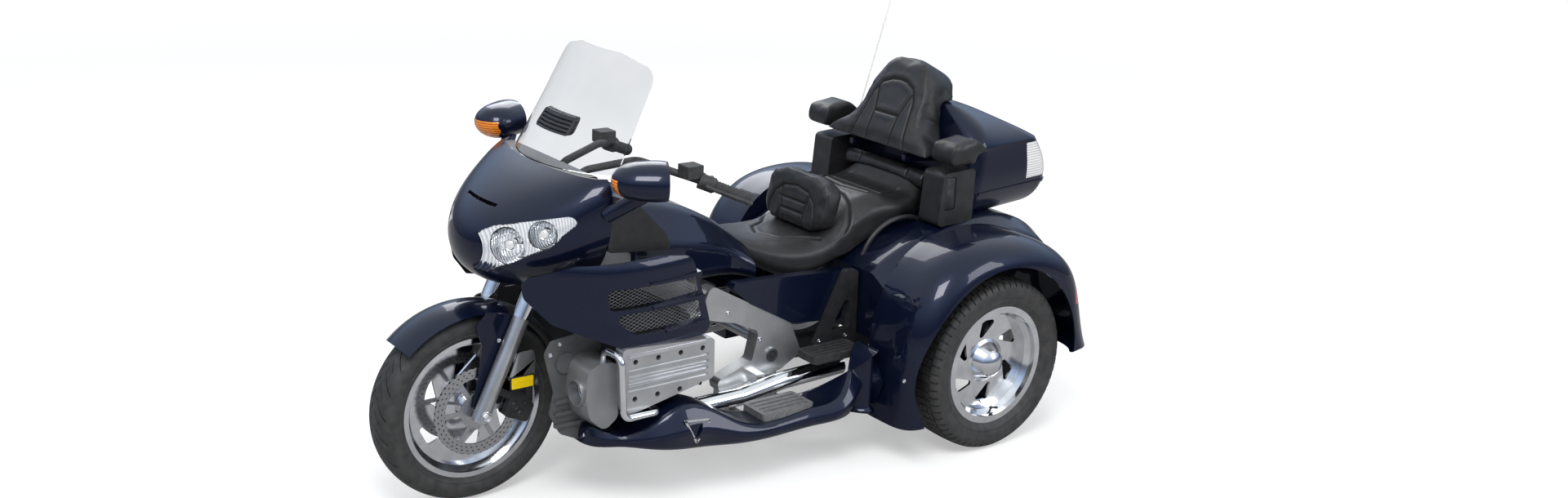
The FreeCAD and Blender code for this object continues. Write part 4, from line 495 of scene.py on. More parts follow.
rear_half_section = [(0.0, 0.3195), (0.010, 0.3195), (0.014, 0.3193), (0.030, 0.3190), (0.034, 0.3188),
                     (0.050, 0.3180), (0.054, 0.3177), (0.070, 0.3160), (0.0745, 0.3152), (0.0850, 0.3110),
                     (0.0925, 0.3045), (0.0975, 0.2960), (0.1000, 0.2850), (0.1000, 0.2720), (0.0975, 0.2580),
                     (0.0950, 0.2510), (0.0956, 0.2480), (0.0945, 0.2440), (0.0905, 0.2360), (0.0840, 0.2270),
                     (0.0760, 0.2120), (0.0740, 0.2070)]
tread_foot, groove_depth = 0.2955, 0.0045
front_pitches, front_pitch_steps = 46, 8
rear_pitches, rear_pitch_steps, rear_ring_width = 64, 6, 0.004
rear_ring_starts = (0.010, 0.030, 0.050, 0.070)
front_sweep, front_sweep_start, front_sweep_width = 0.034, 0.006, 0.055
rear_sweep, rear_sweep_start, rear_sweep_width = 0.004, 0.05, 0.04


def tyre(name, half_section, middle, steps, lean):
    """Spin a tyre's section round its axle; lean turns the tread's outer points forward, in turns."""
    section = [(-y, r) for y, r in reversed(half_section[1:])] + half_section
    bpy.ops.mesh.primitive_circle_add(vertices=len(section), radius=0.1, fill_type="NOTHING", location=middle)
    piece = bpy.context.object
    piece.name = name
    bpy.ops.object.transform_apply()
    for vertex, (y, r) in zip(piece.data.vertices, section):
        angle = 2 * math.pi * lean(abs(y))
        vertex.co = middle + Vector((r * math.cos(angle), y, r * math.sin(angle)))
    only(piece)
    bpy.ops.object.mode_set(mode="EDIT")
    select_whole()
    bpy.ops.mesh.spin(steps=steps, angle=2 * math.pi, center=middle, axis=(0, 1, 0))
    select_whole()
    bpy.ops.mesh.remove_doubles(threshold=0.00005)
    bpy.ops.mesh.normals_make_consistent(inside=False)
    return piece


def cut_tread(piece, middle, steps, lean, chosen):
    """Sink the tread's chosen faces: chosen takes the step round the tyre and the place across."""
    rubber_mesh = bmesh.from_edit_mesh(piece.data)
    for face in rubber_mesh.faces:
        spot = face.calc_center_median() - middle
        turn = math.atan2(spot.z, spot.x) / (2 * math.pi) - lean(abs(spot.y))
        high = math.hypot(spot.x, spot.z)
        face.select_set(high > tread_foot and chosen(math.floor(turn * steps + 0.02) % steps, spot.y))
    bmesh.update_edit_mesh(piece.data)
    bpy.ops.mesh.extrude_region_shrink_fatten(TRANSFORM_OT_shrink_fatten={"value": -groove_depth})
    bpy.ops.object.mode_set(mode="OBJECT")


def front_lean(across):
    """How far a front groove leans back at a distance from the middle, in turns."""
    return -front_sweep * max(0.0, across - front_sweep_start) / front_sweep_width


def front_groove(step, y):
    """Grooves that start on each side in turn, every second one shorter."""
    outer = 0.060 if step % (2 * front_pitch_steps) < front_pitch_steps else 0.040
    return step % front_pitch_steps == (0 if y > 0 else front_pitch_steps // 2) and 0.010 < abs(y) < outer


def rear_lean(across):
    """How far a rear shoulder block leans back at a distance from the middle, in turns."""
    return -rear_sweep * max(0.0, across - rear_sweep_start) / rear_sweep_width


def rear_groove(step, y):
    """Four rings, cuts between the shoulder blocks and finer cuts between the rings."""
    in_ring = any(low < abs(y) < low + rear_ring_width for low in rear_ring_starts)
    at_shoulder = step % rear_pitch_steps == 0 and abs(y) > 0.0745
    between_rings = step % rear_pitch_steps == rear_pitch_steps // 2 and 0.014 < abs(y) < 0.070
    return in_ring or at_shoulder or between_rings


front_steps, rear_steps = front_pitches * front_pitch_steps, rear_pitches * rear_pitch_steps
front_tyre = tyre("front_tyre_treaded", front_half_section, front_axle, front_steps, front_lean)
cut_tread(front_tyre, front_axle, front_steps, front_lean, front_groove)
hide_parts("front_tyre")
complete(front_tyre, tyre_finish, "front_wheel", 28)
for side, middle in rear_axles.items():
    rear_tyre = tyre("rear_tyre_treaded_" + side, rear_half_section, middle, rear_steps, rear_lean)
    cut_tread(rear_tyre, middle, rear_steps, rear_lean, rear_groove)
    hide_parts("rear_tyre_" + side)
    complete(rear_tyre, tyre_finish, "rear_wheel_" + side, 28)

# Headlamps: a clear moulded glass over a silvered bowl that is sunk in two round dishes on
# each side, each dish with a black ring round its mouth and its own bulb cap.
glass_values = {"Roughness": 0.01, "Transmission Weight": 1.0, "IOR": 1.25}
glass, tree, shader, place = new_finish("clear_glass", glass_values)
haze = texture(tree, "Noise", place, 40, Detail=2.0)
tint(tree, shader, haze.outputs["Fac"], [(0.3, (0.93, 0.95, 0.96)), (0.7, (0.99, 0.99, 1.0))])
relief(tree, shader, haze.outputs["Fac"], 0.0003, 0.1)
dress(glass, "clear_lens", "headlamp_lenses")
bowl = merged_copy("headlamp_bowls", "headlamp_bowl_dished", 0.0002)
lamp_dishes = [((0.951, 0.191, 0.893), (0.80, 0.60, 0.0), 0.060),
               ((0.869, 0.271, 0.939), (0.66, 0.74, 0.08), 0.046)]
dish_sink, ring_sink, cap_sink = 0.012, 0.017, 0.010
dish_model = turned("dish", [(0.20, -0.052), (0.55, -0.050), (0.80, -0.036), (0.96, -0.014), (1.0, 0.004),
                             (1.0, 0.05)], 48)
rings, caps, cutters = [], [], []
cap_model = turned("bulb_cap", [(0.012, -0.050), (0.0125, -0.030), (0.0175, -0.026), (0.0175, -0.018),
                                (0.0140, -0.013), (0.0070, -0.010)], 28)
for place, way, reach in lamp_dishes:
    for sign in (1, -1):
        spot = Vector((place[0], sign * place[1], place[2]))
        facing = Vector((way[0], sign * way[1], way[2]))
        inward = -facing.normalized()
        dish = copy_of(dish_model, "dish")
        dish.scale = (reach, reach, 1)
        only(dish)
        bpy.ops.object.transform_apply(location=False, rotation=False, scale=True)
        cutters.append(set_at(dish, "dish_cut", spot + inward * dish_sink, facing))
        drop(dish)
        bpy.ops.mesh.primitive_torus_add(major_radius=reach * 0.985, minor_radius=0.0022, major_segments=56,
                                         minor_segments=8)
        ring = bpy.context.object
        rings.append(set_at(ring, "lamp_ring", spot + inward * ring_sink, facing))
        drop(ring)
        caps.append(set_at(cap_model, "bulb_cap", spot + inward * cap_sink, facing))
drop(dish_model, cap_model)
cutter = one_piece(cutters, "dish_cuts")
carve = bowl.modifiers.new("dishes", "BOOLEAN")
carve.operation = "DIFFERENCE"
carve.solver = "EXACT"
carve.object = cutter
only(bowl)
bpy.ops.object.modifier_apply(modifier="dishes")
drop(cutter)
complete(one_piece(rings, "headlamp_rings"), moulding, "chassis")
reflector, tree, shader, place = new_finish("lamp_silvering", {"Metallic": 1.0, "Roughness": 0.05})
flute_relief_and_shading = texture(tree, "Wave", place, 42, Distortion=1.0)
# Painted reflection: the silvering is painted lighter along each flute's crest and darker between the flutes,
# in step with their relief.
tint(tree, shader, flute_relief_and_shading.outputs["Fac"], [(0.3, (0.62, 0.65, 0.69)), (0.7, (0.90, 0.91, 0.93))])
relief(tree, shader, flute_relief_and_shading.outputs["Fac"], 0.0016, 0.35)
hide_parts("headlamp_bowls")
complete(bowl, reflector, "chassis", 30)
complete(one_piece(caps, "headlamp_bulb_caps"), bright, "chassis")

# Signal and tail lamps: ribbed amber, red and clear lenses moulded in one with their rims,
# each rib painted lighter at its crest and darker in its trough as painted light and shade.
lens_values = {"Roughness": 0.10, "Coat Weight": 1.0, "Coat Roughness": 0.02, "Transmission Weight": 0.15,
               "IOR": 1.4}
for node, finish_name, dark, light, slot, ribs in (
        ("signal_lenses", "amber_lens", (0.55, 0.10, 0.0), (1.0, 0.34, 0.02), "amber_lens", 38),
        ("tail_lamps", "red_lens", (0.30, 0.004, 0.004), (0.85, 0.03, 0.02), "red_lens", 26),
        ("trunk_lamps", "ribbed_clear_lens", (0.62, 0.63, 0.64), (0.95, 0.95, 0.95), "clear_lens", 34)):
    lens_finish, tree, shader, place = new_finish(finish_name, lens_values)
    flute_relief_and_shading = texture(tree, "Wave", place, ribs)
    flute_relief_and_shading.bands_direction = "Z"
    # Painted light and shade: each rib is painted lighter along its crest and darker in its trough, in step
    # with the ribs' relief.
    tint(tree, shader, flute_relief_and_shading.outputs["Fac"], [(0.15, dark), (0.75, light)])
    relief(tree, shader, flute_relief_and_shading.outputs["Fac"], 0.0015, 0.6)
    dress(lens_finish, slot, node)

# Windscreen: a sheet of clear polycarbonate, bent while hot, with a faint unevenness in its
# tint. Its foot is let into the nose fairing.
screen_values = {"Roughness": 0.01, "Transmission Weight": 1.0, "IOR": 1.15}
screen_finish, tree, shader, place = new_finish("clear_screen", screen_values)
haze = texture(tree, "Noise", place, 6, Detail=2.0)
tint(tree, shader, haze.outputs["Fac"], [(0.3, (0.90, 0.93, 0.94)), (0.7, (0.97, 0.98, 0.99))])
dress(screen_finish, "screen", "windscreen")

# Mirrors: glasses silvered behind, let into the painted shells at the sides of the nose
# fairing.
mirror_finish = worn_finish("silvered_glass", (20, 2.0), (0.84, 0.86, 0.87), (0.90, 0.91, 0.92), 0.03, 1.0)
dress(mirror_finish, "mirror_glass", "mirror_glasses")

# Screws: button-headed ones hold the fender wings, rear fenders, boards, shields and
# frame plates, and socket-headed ones sit deep in the valve covers' pockets.
button_model = turned("button_screw", [(0.0078, -0.002), (0.0078, 0.0012), (0.0066, 0.0034), (0.0040, 0.0046),
                                       (0.0030, 0.0047), (0.0028, 0.0022)], 18)
socket_model = turned("socket_screw", [(0.0072, -0.002), (0.0072, 0.0062), (0.0064, 0.0072), (0.0040, 0.0072),
                                       (0.0038, 0.0030)], 18)
fender_bolts, frame_bolts, cover_bolts = [], [], []


def seated(model, name, node, start, way, lift=0.0):
    """A copy of a piece where a ray meets a CAD piece, in a list that is empty if it meets none."""
    found, spot, normal, face = nodes[node].ray_cast(Vector(start), Vector(way))
    return [set_at(model, name, spot + normal * lift, normal)] if found else []


for node, x, z, start, group in (("front_fender", 0.922, 0.550, 0.30, fender_bolts),
                                 ("front_fender", 0.960, 0.385, 0.30, fender_bolts),
                                 ("rear_body", -0.347, 0.338, 0.90, frame_bolts),
                                 ("running_boards", -0.255, 0.384, 0.90, frame_bolts),
                                 ("frame_spars", 0.085, 0.500, 0.45, frame_bolts),
                                 ("frame_spars", 0.150, 0.560, 0.45, frame_bolts),
                                 ("frame_spars", 0.010, 0.440, 0.45, frame_bolts),
                                 ("frame_spars", 0.260, 0.655, 0.45, frame_bolts),
                                 ("wheel_shields", 0.800, 0.572, 0.50, frame_bolts),
                                 ("wheel_shields", 0.834, 0.540, 0.50, frame_bolts),
                                 ("wheel_shields", 0.838, 0.320, 0.50, frame_bolts),
                                 ("rear_brackets", -0.350, 0.400, 0.90, frame_bolts),
                                 ("rear_brackets", -0.230, 0.400, 0.90, frame_bolts)):
    for sign in (1, -1):
        group += seated(button_model, "screw", node, (x, sign * start, z), (0, -sign, 0))
pocket_floor = 0.4022
for x in (0.3597, 0.4449, 0.5301, 0.6153):
    for z in (0.4017, 0.5270):
        for sign in (1, -1):
            cover_bolts.append(set_at(socket_model, "screw", (x, sign * pocket_floor, z), (0, sign, 0)))
complete(one_piece(fender_bolts, "fender_screws"), bright, "steering")
complete(one_piece(frame_bolts, "body_screws"), bright, "chassis")
complete(one_piece(cover_bolts, "valve_cover_screws"), dark_cast, "chassis")
drop(button_model, socket_model)

# Front axle ends, leg brackets and side reflectors: hexagon nuts with a bored end close the
# axle, and a pressed plate behind each leg carries a yellow reflector in a black frame.
dress(cast_silver, "grey_metal", "front_axle")
nut_model = turned("axle_nut", [(0.0135, -0.004), (0.0145, -0.002), (0.0145, 0.006), (0.0125, 0.0085),
                                (0.0085, 0.0085), (0.0080, 0.0010)], 6)
washer_model = turned("axle_washer", [(0.0190, -0.0052), (0.0200, -0.0046), (0.0200, -0.0030),
                                      (0.0188, -0.0022)], 36)
axle_ends = []
for sign in (1, -1):
    beside = front_axle + Vector((0, sign * 0.3, 0))
    axle_ends += seated(nut_model, "axle_nut", "front_axle", beside, (0, -sign, 0))
    axle_ends += seated(washer_model, "axle_washer", "front_axle", beside, (0, -sign, 0))
complete(one_piece(axle_ends, "front_axle_nuts"), bright, "steering")
drop(nut_model, washer_model)


def flat_plate(name, corners, inner, outer, edge, round_off=0.0, arc=4, rim=0.0):
    """A plate from its corners in the side view, from one Y to the other, with eased edges.

    Its corners are rounded in as many steps as the arc has, and a rim's width leaves only a rim.
    """
    bpy.ops.mesh.primitive_circle_add(vertices=len(corners), radius=0.1, fill_type="NGON")
    piece = bpy.context.object
    piece.name = name
    for vertex, (x, z) in zip(piece.data.vertices, corners):
        vertex.co = (x, inner, z)
    bpy.ops.object.mode_set(mode="EDIT")
    select_whole()
    if round_off:
        bpy.ops.mesh.bevel(offset=round_off, segments=arc, affect="VERTICES")
    select_whole()
    if rim:
        bpy.ops.mesh.inset(thickness=rim)
        bpy.ops.mesh.delete(type="FACE")
        select_whole()
    bpy.ops.mesh.extrude_region_move(TRANSFORM_OT_translate={"value": (0, outer - inner, 0)})
    select_whole()
    bpy.ops.mesh.normals_make_consistent(inside=False)
    bpy.ops.mesh.bevel(offset=edge, segments=2, affect="EDGES")
    bpy.ops.object.mode_set(mode="OBJECT")
    bpy.ops.object.transform_apply()
    return piece


bracket_corners = [(0.868, 0.508), (0.812, 0.508), (0.806, 0.470), (0.812, 0.384), (0.900, 0.384),
                   (0.914, 0.392)]
bracket = flat_plate("leg_plate", bracket_corners, 0.112, 0.117, 0.0012, 0.010)
frame_corners = [(0.900, 0.4285), (0.814, 0.4285), (0.814, 0.3845), (0.900, 0.3845)]
reflector_frame = flat_plate("reflector_frame", frame_corners, 0.1165, 0.1215, 0.001, 0.002)
lens_corners = [(0.896, 0.4250), (0.818, 0.4250), (0.818, 0.3880), (0.896, 0.3880)]
reflector_lens = flat_plate("reflector_lens", lens_corners, 0.1210, 0.1255, 0.0012, 0.002)
yellow, tree, shader, place = new_finish("yellow_reflector", {"Roughness": 0.15, "Coat Weight": 1.0})
cells = texture(tree, "Voronoi", place, 420)
tint(tree, shader, cells.outputs["Distance"], [(0.1, (0.98, 0.78, 0.02)), (0.8, (0.80, 0.50, 0.0))])
relief(tree, shader, cells.outputs["Distance"], 0.0004, 0.5)
complete(pair(bracket, "leg_plates"), cast_silver, "steering")
complete(pair(reflector_frame, "reflector_frames"), moulding, "steering")
complete(pair(reflector_lens, "reflector_lenses"), yellow, "steering")

# Frame pivots: round dark caps, turned with a sunk ring, cover the boards' pivots on the
# silver beams.
pivot_cap = turned("pivot_cap", [(0.024, -0.002), (0.024, 0.002), (0.021, 0.0045), (0.015, 0.0045),
                                 (0.0135, 0.002), (0.0085, 0.002), (0.0075, 0.0052), (0.004, 0.006)], 36)
pivots = [set_at(pivot_cap, "pivot_cap", (-0.042, sign * 0.2650, 0.374), (0, sign, 0)) for sign in (1, -1)]
complete(one_piece(pivots, "frame_pivot_caps"), dark_cast, "chassis")
drop(pivot_cap)

# Valve cover ribs: three slim ribs run along the middle of each cover, and a polished
# strip along its upper edge, all cast with the cover and machined bright.
rib_start, rib_end, rib_seat, rib_edge = 0.3480, 0.6420, 0.001, 0.0012
cover_ribs = []
for level, height, stand in ((0.4825, 0.0065, 0.0034), (0.4660, 0.0065, 0.0034), (0.4495, 0.0065, 0.0034),
                             (0.5480, 0.0120, 0.0030)):
    beside = Vector((0.49, 0.80, level))
    found, spot, normal, face = nodes["valve_covers"].ray_cast(beside, Vector((0, -1, 0)))
    low, high = level - height / 2, level + height / 2
    rib_corners = [(rib_start, low), (rib_end, low), (rib_end, high), (rib_start, high)]
    rib = flat_plate("cover_rib", rib_corners, spot.y - rib_seat, spot.y + stand, rib_edge)
    cover_ribs += [rib, other_side(rib, "cover_rib_right")]
complete(one_piece(cover_ribs, "valve_cover_ribs"), rim_finishes["rear_rim_right"], "chassis")

# Caliper caps: two round piston caps and two guide pins, turned from dark steel, stand on
# each front caliper.
piston_cap = turned("piston_cap", [(0.0150, -0.003), (0.0150, 0.0020), (0.0132, 0.0042), (0.0090, 0.0042),
                                   (0.0080, 0.0028)], 24)
guide_pin = turned("guide_pin", [(0.0060, -0.003), (0.0060, 0.0050), (0.0048, 0.0062), (0.0028, 0.0062),
                                 (0.0026, 0.0035)], 12)
caps = []
for model, x, z in ((piston_cap, 0.874, 0.320), (piston_cap, 0.853, 0.286), (guide_pin, 0.838, 0.322),
                    (guide_pin, 0.884, 0.292)):
    for sign in (1, -1):
        caps += seated(model, "caliper_cap", "front_calipers", (x, sign * 0.30, z), (0, -sign, 0))
complete(one_piece(caps, "caliper_caps"), dark_cast, "steering")
drop(piston_cap, guide_pin)

# Pod doors: a pocket door of black moulded plastic fills the sunk panel on each speaker pod
# and has a rubber finger pull.
door_corners = [(-0.7625, 0.8370), (-0.7095, 0.8370), (-0.7165, 0.9530), (-0.7610, 0.9550)]
door = flat_plate("pod_door", door_corners, 0.3635, 0.3705, 0.003, 0.008)
pull_corners = [(-0.7520, 0.8820), (-0.7220, 0.8820), (-0.7235, 0.9120), (-0.7515, 0.9120)]
finger_pull = flat_plate("pod_slot", pull_corners, 0.3700, 0.3712, 0.0005, 0.004)
complete(pair(door, "pod_doors"), moulding, "chassis")
complete(pair(finger_pull, "pod_slots"), rubber, "chassis")

# Grab rails: a bent steel tube, coated black, beside each side of the passenger's seat, with
# both its ends let into the rear body.
bpy.ops.curve.primitive_nurbs_path_add()
grab_rail = bpy.context.object
grab_rail.name = "grab_rail"
grab_course = [(-0.452, 0.238, 0.668), (-0.490, 0.243, 0.778), (-0.580, 0.246, 0.802), (-0.680, 0.246, 0.806),
               (-0.716, 0.241, 0.762)]
for point, place in zip(grab_rail.data.splines[0].points, grab_course):
    point.co = (*place, 1)
grab_rail.data.resolution_u = 8
grab_rail.data.bevel_depth = 0.009
grab_rail.data.bevel_resolution = 4
grab_rail.data.use_fill_caps = True
bpy.ops.object.convert(target="MESH")
complete(pair(grab_rail, "grab_rails"), moulding, "chassis")

# Fog recesses: each lower cowl's round recess holds a chromed ring with a domed glass in it
# that is silvered behind.
fog_ring = turned("fog_ring", [(0.0385, -0.002), (0.0385, 0.004), (0.0360, 0.0065), (0.0320, 0.0050),
                               (0.0305, -0.001)], 40)
fog_glass = turned("fog_glass", [(0.0310, -0.002), (0.0300, 0.0010), (0.0220, 0.0032), (0.0100, 0.0042)], 32)
fog_rings, fog_glasses = [], []
for sign in (1, -1):
    ahead = (1.4, sign * 0.317, 0.421)
    fog_rings += seated(fog_ring, "fog_ring", "front_cowls", ahead, (-1, 0, 0), 0.001)
    fog_glasses += seated(fog_glass, "fog_glass", "front_cowls", ahead, (-1, 0, 0), 0.001)
complete(one_piece(fog_rings, "fog_rings"), bright, "chassis")
complete(one_piece(fog_glasses, "fog_glasses"), mirror_finish, "chassis")
drop(fog_ring, fog_glass)

# Board trims: a plain three-cornered rim, cast and chromed, lines the recess in each running
# board.
trim_corners = [(0.4700, 0.3200), (0.3570, 0.3050), (0.4165, 0.2220)]
trim_width, trim_depth, trim_sink, board_side = 0.0085, 0.006, 0.0035, 0.470
trim = flat_plate("board_trim", trim_corners, board_side, board_side + trim_depth, 0.0015, 0.012, 5,
                  trim_width)
board_faces = [board_side]
for vertex in trim.data.vertices:
    found, spot, normal, face = nodes["running_boards"].ray_cast(Vector((vertex.co.x, 0.70, vertex.co.z)),
                                                                Vector((0, -1, 0)))
    if found:
        board_faces.append(spot.y)
for vertex in trim.data.vertices:
    vertex.co.y += max(board_faces) - board_side - trim_sink
complete(pair(trim, "board_trims"), bright, "chassis")

# Handlebar: ribbed rubber sleeves on the grips, rocker buttons on the switch boxes and
# round instruments with bright bezels on the dash behind the windscreen.
grip_end, grip_way = Vector((0.162, 0.380, 0.990)), Vector((0.787, -0.518, 0.3345)).normalized()
grip_ribs, first_rib, rib_pitch = 11, 0.018, 0.0095
sleeve_steps = [(0.0185, 0.004), (0.0215, 0.006), (0.0215, 0.010), (0.0190, 0.013)]
for rib in range(grip_ribs):
    start = first_rib + rib * rib_pitch
    sleeve_steps += [(0.0190, start), (0.0201, start + 0.0015), (0.0201, start + 0.0055),
                     (0.0190, start + 0.007)]
sleeve_steps += [(0.0190, 0.1235), (0.0225, 0.1255), (0.0225, 0.1285), (0.0185, 0.1295)]
sleeve = turned("grip_sleeve", sleeve_steps, 28)
grips = []
for sign in (1, -1):
    mirrored = Vector((1, sign, 1))
    grips.append(set_at(sleeve, "grip_sleeve", grip_end * mirrored, grip_way * mirrored))
complete(one_piece(grips, "grip_sleeves"), rubber, "steering")
drop(sleeve)
button = turned("switch_button", [(0.0070, -0.003), (0.0070, 0.0022), (0.0058, 0.0036), (0.0030, 0.0042)], 16)
button_places, button_seat = ((0.146, 0.9), (0.160, 0.2), (0.174, 0.9)), 0.026
buttons = []
upward = Vector((0, 0, 1))
rear_way = upward.cross(grip_way).normalized()
for sign in (1, -1):
    mirrored = Vector((1, sign, 1))
    for along, lift_share in button_places:
        way = (-rear_way * (1 - 0.4 * lift_share) + upward * lift_share).normalized()
        way = (way - grip_way * way.dot(grip_way)).normalized()
        spot = grip_end + grip_way * along + way * button_seat
        buttons.append(set_at(button, "switch_button", spot * mirrored, way * mirrored))
complete(one_piece(buttons, "switch_buttons"), grey_moulding, "steering")
drop(button)
dial_face, tree, shader, place = new_finish("dial_face", {"Roughness": 0.2, "Coat Weight": 1.0})
marks = texture(tree, "Wave", place, 160)
tint(tree, shader, marks.outputs["Fac"], [(0.80, (0.012, 0.012, 0.013)), (0.97, (0.30, 0.31, 0.32))])
dial_places = [(0.045, 0.0225), (-0.045, 0.0225), (0.105, 0.0185), (-0.105, 0.0185), (0.160, 0.0150),
               (-0.160, 0.0150)]
dial_bezels, dial_faces = [], []
for y, reach in dial_places:
    bezel = turned("bezel", [(reach, -0.002), (reach, 0.004), (reach * 0.93, 0.0052), (reach * 0.86, 0.0030),
                             (reach * 0.85, 0.0008)], 36)
    dial = turned("dial", [(reach * 0.87, 0.0004), (reach * 0.86, 0.0012), (reach * 0.30, 0.0014),
                           (reach * 0.12, 0.0020)], 32)
    behind = (0.30, y, 1.070)
    dial_bezels += seated(bezel, "bezel", "inner_fairing", behind, (1, 0, 0.02))
    dial_faces += seated(dial, "dial", "inner_fairing", behind, (1, 0, 0.02))
    drop(bezel, dial)
complete(one_piece(dial_bezels, "dial_bezels"), bright, "chassis")
complete(one_piece(dial_faces, "dial_faces"), dial_face, "chassis")

# Cushions: the seat, both backrests, the lumbar roll and the armrests, black grained
# leather over foam, swollen from their solids by the cloth solver, then drawn in at seams,
# with painted shade darkening the leather in each seam's valley.
leather, tree, shader, place = new_finish("black_leather", {"Specular IOR Level": 0.45})
grains = texture(tree, "Voronoi", place, 520)
folds = texture(tree, "Noise", place, 20, Detail=4.0)
hide = ramp(tree, folds.outputs["Fac"], [(0.3, (0.010, 0.010, 0.0105)), (0.7, (0.020, 0.020, 0.021))])
seam_depth_and_shade_node = tree.nodes.new("ShaderNodeAttribute")
seam_depth_and_shade_node.attribute_name = "seam_depth_and_shade"
# Painted shade: the seam depth share darkens the leather towards near-black in each seam's valley.
shaded = mixed_colour(tree, seam_depth_and_shade_node.outputs["Fac"], hide, (0.003, 0.003, 0.003))
tree.links.new(shaded, shader.inputs["Base Color"])
seam_gloss = ramp(tree, seam_depth_and_shade_node.outputs["Fac"], [(0.2, (0.38, 0.38, 0.38)), (0.8, (0.85, 0.85, 0.85))])
tree.links.new(seam_gloss, shader.inputs["Roughness"])
folded = relief(tree, shader, folds.outputs["Fac"], 0.003, 0.3)
relief(tree, shader, grains.outputs["Distance"], 0.0006, 0.45, folded)
cloth_frames, first_steps, last_steps = 20, 8, 14
seam_depth, seam_width, crown_height = 0.0050, 0.0048, 0.0012


def places_and_normals(piece):
    """Where a piece's points are and which way each faces."""
    count = len(piece.data.vertices)
    places, normals = numpy.empty(count * 3), numpy.empty(count * 3)
    piece.data.vertices.foreach_get("co", places)
    piece.data.vertices.foreach_get("normal", normals)
    return places.reshape(-1, 3), normals.reshape(-1, 3)


def even_out(pad, factor, times):
    """Smooth a pad's surface."""
    even = pad.modifiers.new("even", "SMOOTH")
    even.factor = factor
    even.iterations = times
    only(pad)
    bpy.ops.object.modifier_apply(modifier="even")


def cushion(node, name, voxel, shrink, cap, body):
    """A leather pad swollen from a CAD solid, no point further than the cap."""
    pad = merged_copy(node, name, 0.0004)
    lumps = pad.modifiers.new("lumps", "REMESH")
    lumps.mode = "VOXEL"
    lumps.voxel_size = voxel
    bpy.ops.object.modifier_apply(modifier="lumps")
    even_out(pad, 0.6, first_steps)
    places, normals = places_and_normals(pad)
    pad.data.vertices.foreach_set("co", (places - normals * shrink).ravel())
    pad.data.update()
    before = [vertex.co.copy() for vertex in pad.data.vertices]
    cloth = pad.modifiers.new("cloth", "CLOTH")
    cloth.settings.effector_weights.gravity = 0.0
    cloth.settings.use_pressure = True
    cloth.settings.uniform_pressure_force = 4.0
    cloth.settings.quality = 4
    cloth.settings.tension_stiffness = 12
    cloth.settings.compression_stiffness = 12
    cloth.point_cache.frame_start = 1
    cloth.point_cache.frame_end = cloth_frames
    for step in range(1, cloth_frames + 1):
        bpy.context.scene.frame_set(step)
    swollen = pad.evaluated_get(bpy.context.evaluated_depsgraph_get())
    after = [vertex.co.copy() for vertex in swollen.data.vertices]
    pad.modifiers.remove(cloth)
    bpy.context.scene.frame_set(1)
    for vertex, old, new in zip(pad.data.vertices, before, after):
        way = new - old
        vertex.co = old + way.normalized() * min(way.length, cap)
    even_out(pad, 0.5, last_steps)
    soft = pad.modifiers.new("soft", "SUBSURF")
    soft.levels = 1
    soft.render_levels = 1
    bpy.ops.object.modifier_apply(modifier="soft")
    pad.data.materials.clear()
    pad.data.materials.append(leather)
    for face in pad.data.polygons:
        face.use_smooth = True
        face.material_index = 0
    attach(pad, body)
    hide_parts(node)
    return pad


def sew(pad, lines, right, up, front):
    """Draw the leather in along seams given as places in the pad's own right and up directions."""
    places, normals = places_and_normals(pad)
    flat = numpy.stack((places @ numpy.array(right), places @ numpy.array(up)), 1)
    facing = normals @ numpy.array(front) > 0.25
    nearest = numpy.full(len(places), 1.0)
    for line in lines:
        for start, end in zip(line, line[1:]):
            start, end = numpy.array(start), numpy.array(end)
            run = end - start
            share = numpy.clip(((flat - start) @ run) / (run @ run), 0, 1)
            nearest = numpy.minimum(nearest, numpy.linalg.norm(flat - start - share[:, None] * run, axis=1))
    sink = seam_depth * numpy.exp(-(nearest / seam_width) ** 2) * facing
    crown = crown_height * numpy.exp(-((nearest - 3.2 * seam_width) / (1.8 * seam_width)) ** 2) * facing
    places = places + normals * (crown - sink)[:, None]
    pad.data.vertices.foreach_set("co", places.ravel())
    # Each point keeps its seam depth share, which the leather reads as painted shade in the seam's valley and
    # as rougher leather there.
    seam_depth_and_shade = pad.data.attributes.new("seam_depth_and_shade", "FLOAT", "POINT")
    seam_depth_and_shade.data.foreach_set("value", sink / seam_depth)
    pad.data.update()


def both_ways(line):
    """A seam and its mirror image."""
    return [line, [(-y, z) for y, z in line]]


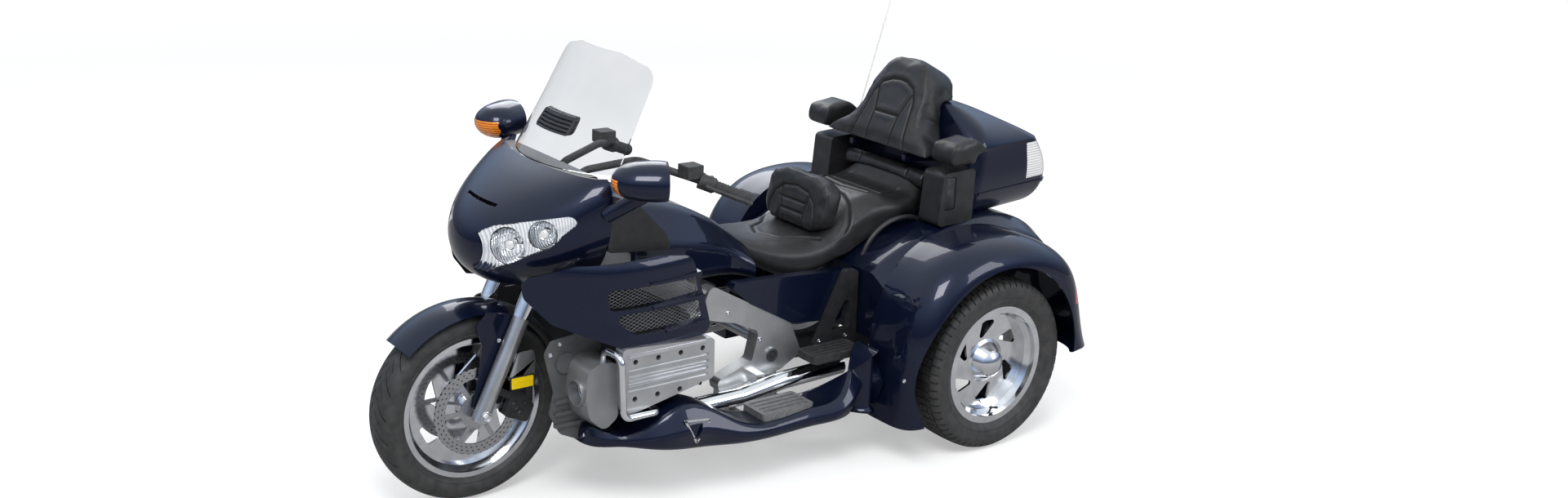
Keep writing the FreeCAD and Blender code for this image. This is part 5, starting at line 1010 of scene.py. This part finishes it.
seat_pad = cushion("seat", "seat_cushion", 0.0075, 0.004, 0.005, "chassis")
seat_seams = [[(-0.305, -0.168), (-0.255, -0.112), (-0.190, -0.080), (-0.146, 0.0), (-0.190, 0.080),
               (-0.255, 0.112), (-0.305, 0.168)],
              [(-0.378, -0.214), (-0.420, -0.193), (-0.455, -0.146), (-0.486, -0.071), (-0.492, 0.0),
               (-0.486, 0.071), (-0.455, 0.146), (-0.420, 0.193), (-0.378, 0.214)],
              [(-0.690, -0.137), (-0.600, -0.150), (-0.552, -0.128), (-0.530, 0.0), (-0.552, 0.128),
               (-0.600, 0.150), (-0.690, 0.137)], [(-0.600, -0.148), (-0.600, 0.148)]]
sew(seat_pad, seat_seams, (1, 0, 0), (0, 1, 0), (0, 0, 1))
rider_pad = cushion("rider_backrest", "rider_backrest_cushion", 0.0055, 0.004, 0.006, "chassis")
rider_seams = [[(-0.128, 0.745), (-0.130, 0.800), (-0.112, 0.850), (-0.070, 0.880), (0.0, 0.890),
                (0.070, 0.880), (0.112, 0.850), (0.130, 0.800), (0.128, 0.745)],
               [(-0.078, 0.838), (0.078, 0.838)], [(-0.066, 0.800), (0.066, 0.800)]]
rider_seams += both_ways([(0.080, 0.872), (0.066, 0.805), (0.070, 0.745)])
sew(rider_pad, rider_seams, (0, 1, 0), (0, 0, 1), (1, 0, 0))
lumbar = cushion("lumbar_pad", "lumbar_cushion", 0.0055, 0.003, 0.004, "chassis")
sew(lumbar, both_ways([(0.135, 0.870), (0.135, 0.940)]), (0, 1, 0), (0, 0, 1), (1, 0, 0))
passenger_pad = cushion("passenger_backrest", "passenger_backrest_cushion", 0.0065, 0.004, 0.006, "trunk_lid")
passenger_seams = [[(-0.150, 1.010), (-0.138, 1.060), (-0.124, 1.120), (-0.112, 1.180), (-0.085, 1.222),
                    (-0.040, 1.240), (0.0, 1.244), (0.040, 1.240), (0.085, 1.222), (0.112, 1.180),
                    (0.124, 1.120), (0.138, 1.060), (0.150, 1.010)], [(-0.066, 1.122), (0.066, 1.122)]]
passenger_seams += both_ways([(0.094, 1.205), (0.066, 1.125), (0.064, 1.015)])
sew(passenger_pad, passenger_seams, (0, 1, 0), (0, 0, 1), (0.89, 0, 0.45))
cushion("armrests", "armrest_cushions", 0.0055, 0.003, 0.004, "trunk_lid")
